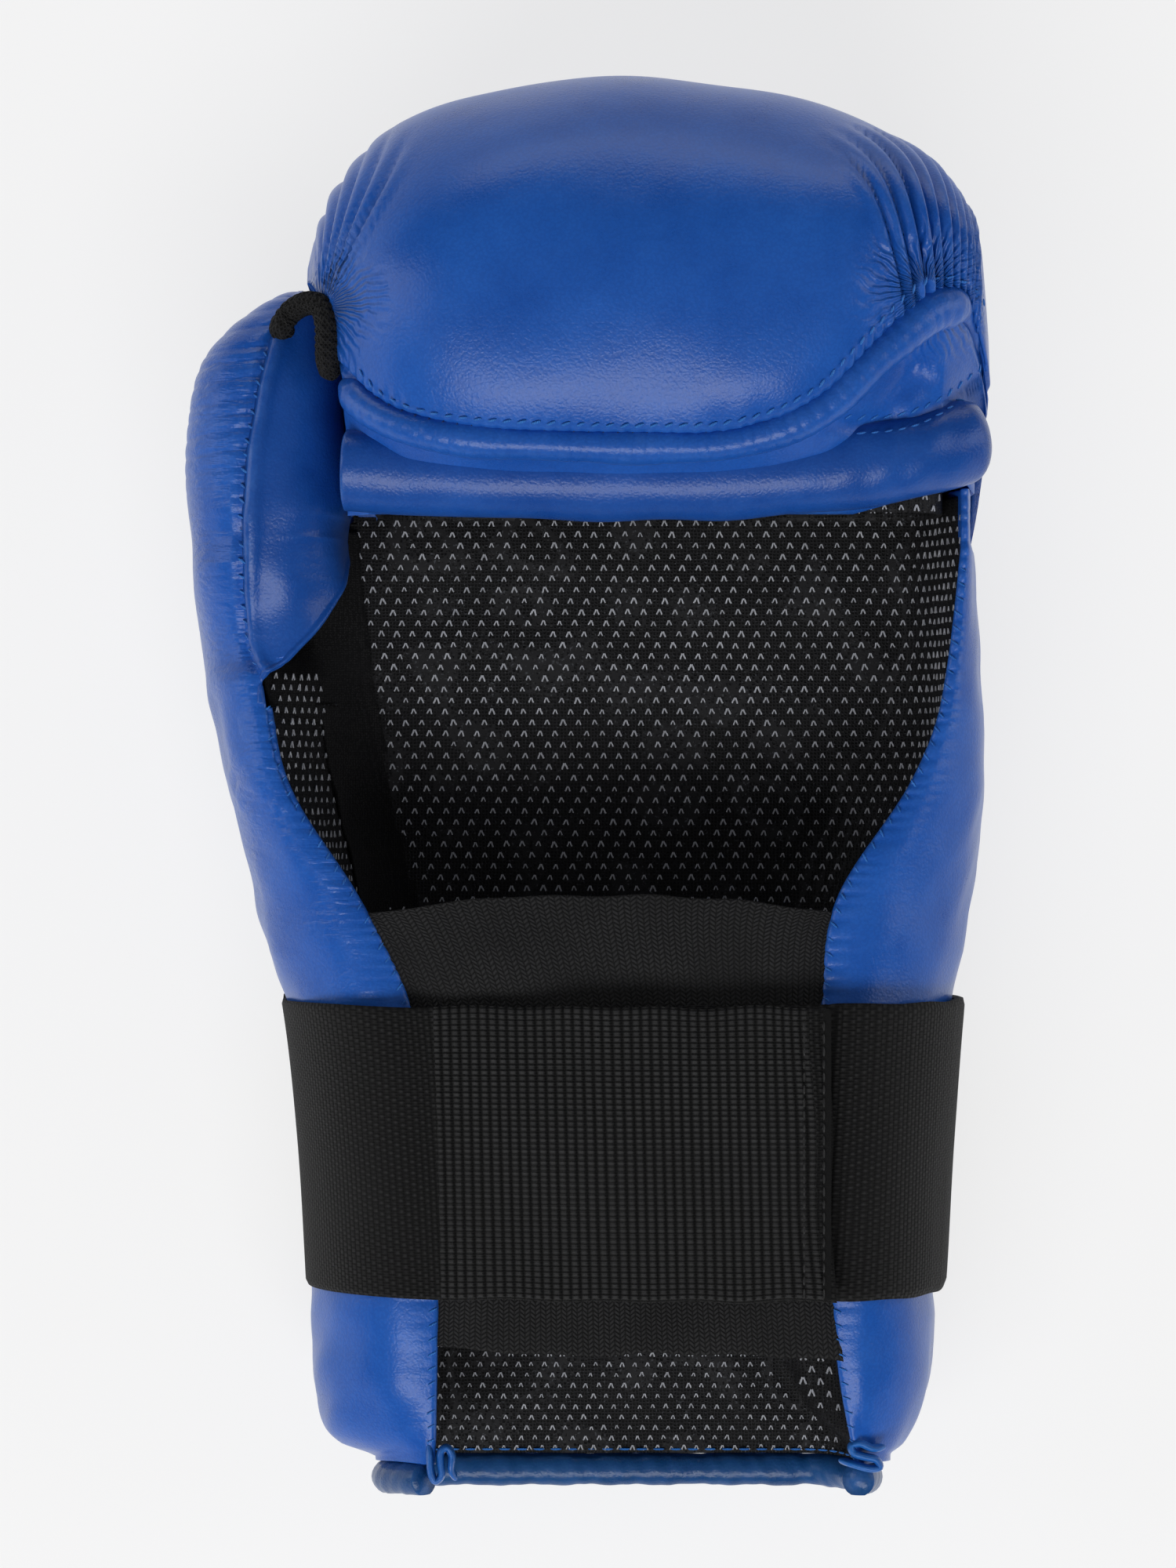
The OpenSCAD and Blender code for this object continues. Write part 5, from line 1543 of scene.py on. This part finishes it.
# ---------------------------------------------------------------- putting the glove together
blue = leather()
# Painted shade: the band and the thumb's panel get a darker copy of the blue leather
shaded_blue = leather("shaded blue leather", (0.006, 0.058, 0.29), (0.0105, 0.082, 0.37), wrinkled=False)
lip_blue = leather("lip leather", wrinkled=False)
side_blue = leather("creased blue leather", wrinkled=False, creased=0.45)
pale = leather("binding leather", (0.004, 0.045, 0.15), (0.011, 0.072, 0.215), wrinkled=False)
azure_edge = leather("azure leather", (0.009, 0.09, 0.36), (0.016, 0.14, 0.47), wrinkled=False)
mesh_black, knit_black, strap_black = mesh_cloth(), knit_cloth(), webbing()
elastic_black, braid_black = elastic_knit(), braid_cord()
azure = thread("azure thread", (0.008, 0.1, 0.42), (0.03, 0.26, 0.72))
navy = thread("navy thread", (0.004, 0.018, 0.1), (0.012, 0.05, 0.22))
black_thread = thread("black thread", (0.002, 0.002, 0.0025), (0.008, 0.008, 0.009))
silver = thread("silver thread", (0.22, 0.23, 0.26), (0.8, 0.82, 0.88), 0.5)
loop_black, hook_black = tape_cloth("loop tape", 0.45, 0.9), tape_cloth("hook tape", 0.7, 0.3)

shell = hand_leather(side_blue)
lining = hand_lining(mesh_black)
roll = finger_leather(blue)
lip = finger_lip(lip_blue)
band = finger_band(shaded_blue)
pocket = finger_lining(mesh_black)
thumb = thumb_leather(side_blue)
thumb_panel(shaded_blue)
thumb_lining(knit_black)
thumb_gusset(knit_black)
thumb_tie(braid_black)
elastic = wrist_elastic(elastic_black)
strap_base(strap_black)
strap_tail(strap_black)
tail_hem(strap_black)
patch("loop_patch_tape", BASE_END + 1.2, MOUTH_RIGHT - 2.4, LOOP_Z, PATCH_T, loop_black,
      "hand", "loop_patch")
patch("hook_patch_tape", BASE_END + 1.2, TAIL_END - 1.2, HOOK_Z, PATCH_T, hook_black,
      "tail", "hook_patch")
cuff_binding(pale)
binding_end(-1, azure_edge)
binding_end(1, azure_edge)

HAND_TO_FINGERS = ((0, 0.022, 0.01), (0, 0.052, 0.01))
stitches, marks = spread_tree("stitches", thread_capsule), spread_tree("marks", upturned_v)


MARK_PITCH = 2.84
CUFF_MARKS_END = -96        # the strap and the elastic hide the lining between here and the palm


def staggered(rows, x0, x1, pitch=MARK_PITCH):
    """Places in XY, with every second row shifted by half the pitch."""
    return np.array([(x + pitch / 2 * (k % 2), y) for k, y in enumerate(rows) for x in np.arange(x0, x1, pitch)])


def tray_marks():
    """Points, normals and sizes of the marks on the hand's lining, spaced along its section."""
    points, ups, sizes = [], [], []
    # The cloth bunches up in the cuff, so its marks sit closer there
    rows = np.concatenate([np.arange(CUFF_Y + 1.2, CUFF_MARKS_END, 1.7), np.arange(-22.8, 49, 2.0)])
    for k, y in enumerate(rows):
        tight = 0.82 if y < CUFF_MARKS_END else 1.0
        c = tray(np.array([min(y, KNUCKLE_Y)]))[1][0]
        s = path_length(c)
        q = np.arange(1.6 + (k % 2) * MARK_PITCH / 2 * tight, s[-1] - 1.2, MARK_PITCH * tight)
        p, t = sample(c, s, q), sample(c, s, q + 0.5) - sample(c, s, q - 0.5)
        n = unit(np.stack([-t[:, 1], t[:, 0]], 1))
        n *= np.sign((n * ([0, 60] - p)).sum(1, keepdims=True))
        # The knit covers the lining beside the thumb
        fold = at(GUSSET_FOLD, y)
        shown = min(MARKS_DOWN, 0.72 * s[c[:, 0] < fold].max()) if y > -22 else 1e3
        keep = ~((p[:, 0] < fold) & (q > shown + 0.4) | (y > 19.3) & (p[:, 0] < -42.4))
        points.append(np.insert(p, 1, y, axis=1)[keep])
        ups.append(np.insert(n, 1, 0, axis=1)[keep])
        sizes.append(np.full(keep.sum(), tight))
    return np.vstack(points), np.vstack(ups), np.concatenate(sizes)


def lining_marks():
    points, ups, sizes = tray_marks()
    top, over, _ = surface_at(pocket, staggered((48.4, 50.4, 52.4), 46, 61))
    points, ups = np.vstack([points, top]), np.vstack([ups, over])
    r = np.random.default_rng(11)
    points = points + r.normal(size=points.shape) * 0.05
    x, y, z = points.T
    hit = lean(points) + ups * 0.16
    near, _, ok = surface_at(lining, hit[:, :2])
    folded = (y < -90) & (x > 34) & (z < 44)
    flat = ((ups[:, 2] > 0.7) | folded) & ok & (z < 50)
    hit[flat] = near[flat] + ups[flat] * 0.08
    raised = (y > 10) & (x < -43)
    hit[raised] = points[raised] + ups[raised] * 0.85
    # The same cloth goes on inside the finger pocket
    low, face, _ = surface_at(pocket, staggered(np.arange(49.4, 88, 2.0), -31, 56), 40.0)
    hit, ups = np.vstack([hit, low + face * 0.12]), np.vstack([ups, face])
    along = [0.0, 1.0, 0.0] + r.normal(size=hit.shape) * 0.06
    scale = np.ones(len(hit))
    scale[:len(sizes)] = sizes
    scale *= 1 + 0.12 * r.normal(size=len(hit)).clip(-1.5, 1.5)
    # Beside the fold in the cuff a strip is left bare of marks, as painted shade along the fold, and the marks on the
    # fold are larger and wider apart
    shown = (hit[:, 1] >= -90) | (hit[:, 0] <= np.interp(hit[:, 1], *CUFF_FOLD) - 2.6)
    wall = staggered(np.arange(CUFF_Y + 1.4, CUFF_MARKS_END, 2.15), 34, 58, 3.1)
    past = wall[:, 0] - np.interp(wall[:, 1], *CUFF_FOLD)
    short = smooth(RIGHT_ROWS, wall[:, 1], 2) - wall[:, 0]
    top, over, _ = surface_at(lining, wall[(past > 1.2) & (short > 0.8)])
    hit, ups = np.vstack([hit[shown], top + over * 0.12]), np.vstack([ups[shown], over])
    along = np.vstack([along[shown], [0.0, 1.0, 0.0] + r.normal(size=top.shape) * 0.06])
    scale = np.concatenate([scale[shown], 1.22 + 0.1 * r.normal(size=len(top)).clip(-1.5, 1.5)])
    obj = spread("lining_marks", marks, hit, along, ups, scale, 1.0, 0.25, 0.12, silver)
    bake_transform(obj)


def rim_stitches(side):
    rows = LEFT_ROWS if side < 0 else RIGHT_ROWS
    y = np.linspace(CUFF_Y + 3, 15.5 if side < 0 else 40, 400)
    x = side * (smooth(rows, y, 2) - 0.1)
    name = "rim_stitch_left" if side < 0 else "rim_stitch_right"
    return seam_stitches(name, shell, np.stack([x, y], 1), 2.6, 1.7, 0.36, azure, "hand",
                         None if side < 0 else HAND_TO_FINGERS, 62 * side)


def seam_line(offset, x0=LIP_LEFT, x1=66.5):
    """A line in XY beside the lip, further up the roll by offset."""
    p = lip_path(400)[:, :2]
    t = unit(np.gradient(p, axis=0))
    q = p + np.stack([-t[:, 1], t[:, 0]], 1) * offset
    return q[(p[:, 0] > x0) & (p[:, 0] < x1)]


lining_marks()
rim_stitches(-1)
rim_stitches(1)
seam_stitches("main_seam_stitch", roll, seam_line(SEAM_OFF + 0.1), PLEAT, 1.6, 0.5, azure, "hand",
              HAND_TO_FINGERS, 18, proud=0.28)
seam_stitches("lip_stitch", lip, seam_line(2.6), 2.5, 0.9, 0.3, navy, "hand",
              HAND_TO_FINGERS, 60)
for k, (piece, shift) in enumerate(((roll, 1.3), (band, -1.5))):
    row = curve_through([(x, y + shift) for x, y in zip(FACING_X[1:], FACING_Y[1:])], 160)
    seam_stitches(f"facing_stitch_{k}", piece, row, 2.4, 1.6, 0.45, azure, "hand",
                  HAND_TO_FINGERS, 12)
seam = np.array([(at(THUMB_SEAM, y) + 0.2, y) for y in np.linspace(20, 76.5, 200)])
seam_stitches("thumb_stitch", thumb, seam, 2.6, 1.7, 0.45, azure, "thumb", None, 60, proud=0.5)


def binding_stitches():
    p = resample(binding_path(), 400)[14:-14]
    q, t = even_points(np.insert(p, 1, BINDING_Y, axis=1), 3.1)
    inward = unit(np.cross(t, [0, 1, 0]))
    inward *= np.sign((inward * ([8, 0, 60] - q) * [1, 0, 1]).sum(1, keepdims=True))
    a = math.radians(42)
    out = unit(inward * math.sin(a) + np.array([0, math.cos(a), 0]))
    obj = spread("binding_stitch", stitches, q + inward * 2.95 * math.sin(a) + np.array([0, 2.75 * math.cos(a), 0])
                 + out * 0.12, t, out, 1.0, 2.1, 0.45, 0.4, azure)
    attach(obj, "hand")


binding_stitches()


def hem_stitches():
    y = np.arange(STRAP_Y - 24, STRAP_Y + 24, 2.2)
    rows = np.array([(x, each) for x in (37.2, 40.6) for each in y])
    obj = spread("hem_stitch", stitches, lifted(rows, TAIL_Z + STRAP_T + 0.8), [0, 1, 0], [0, 0, 1],
                 1.0, 1.7, 0.4, 0.35, black_thread)
    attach(obj, "tail")


def back_stitches():
    """Sewn square that holds the strap to the back of the glove."""
    half, low = 15.0, WRIST_LIFT - WALL_GAP - STRAP_T + 0.25
    ring = np.array([(-half, -half), (half, -half), (half, half), (-half, half), (-half, -half), (half, half)])
    p, t = even_points(ring + [0, STRAP_Y], 2.5)
    obj = spread("strap_stitch_thread", stitches, lifted(p, low), lifted(t, 0), [0, 0, -1],
                 1.0, 2.0, 0.5, 0.4, azure)
    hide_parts("strap_stitch")
    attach(obj, "hand")


hem_stitches()
back_stitches()


# ---------------------------------------------------------------- camera, light and floor
def area_light(name, place_m, target, size, power, size_y):
    data = bpy.data.lights.new(name, "AREA")
    data.shape = "RECTANGLE"
    data.size, data.size_y, data.energy = size, size_y, power
    obj = add_object(name, data)
    obj.location = place_m
    obj.rotation_euler = (Vector(target) - Vector(place_m)).to_track_quat("-Z", "Y").to_euler()


KEY, SIDE, FAR = 14.0, 2.8, 3.4     # power of the lamps, in watts

camera_data = bpy.data.cameras.new("camera")
camera_data.sensor_fit = "VERTICAL"
camera_data.sensor_height = 36
camera_data.lens = 120
camera_data.clip_start = 0.05
camera = add_object("camera", camera_data)
camera.location = (-0.00014, 0.00007, 0.9687)
bpy.context.scene.camera = camera

area_light("key", (-0.15, -0.8, 1.08), (0, 0.02, 0.03), 1.4, KEY, size_y=0.5)
for name, x in (("left", -1.05), ("right", 1.05)):
    area_light(name, (x, 0.15, 0.42), (0, 0, 0.04), 0.5, SIDE, size_y=0.9)
area_light("far", (0.0, 1.15, 0.28), (0, 0.05, 0.04), 1.2, FAR, size_y=0.35)

bpy.ops.mesh.primitive_plane_add(size=6, location=(0, 0, -0.0004))
floor = bpy.context.object
floor.name = "floor"
floor.data.materials.append(plain_floor())

world = bpy.data.worlds.new("studio")
bpy.context.scene.world = world
# A soft light overhead, dim walls, and a pale line where they meet the floor
room = Nodes(world)
height = room.add("ShaderNodeSeparateXYZ", {0: room.add("ShaderNodeTexCoord", out="Generated")}, 2)
walls = room.blend(height.remap(0.0, 0.14), (0.8, 0.8, 0.8), (0.06, 0.06, 0.062))
seen = room.blend(height.remap(0.7, 0.95), walls, (0.2, 0.2, 0.205))
sky = room.add("ShaderNodeBackground", {"Color": seen, "Strength": 1.0})
tree_node(room.tree, "ShaderNodeOutputWorld", {"Surface": sky})
bpy.context.scene.view_settings.view_transform = "Standard"
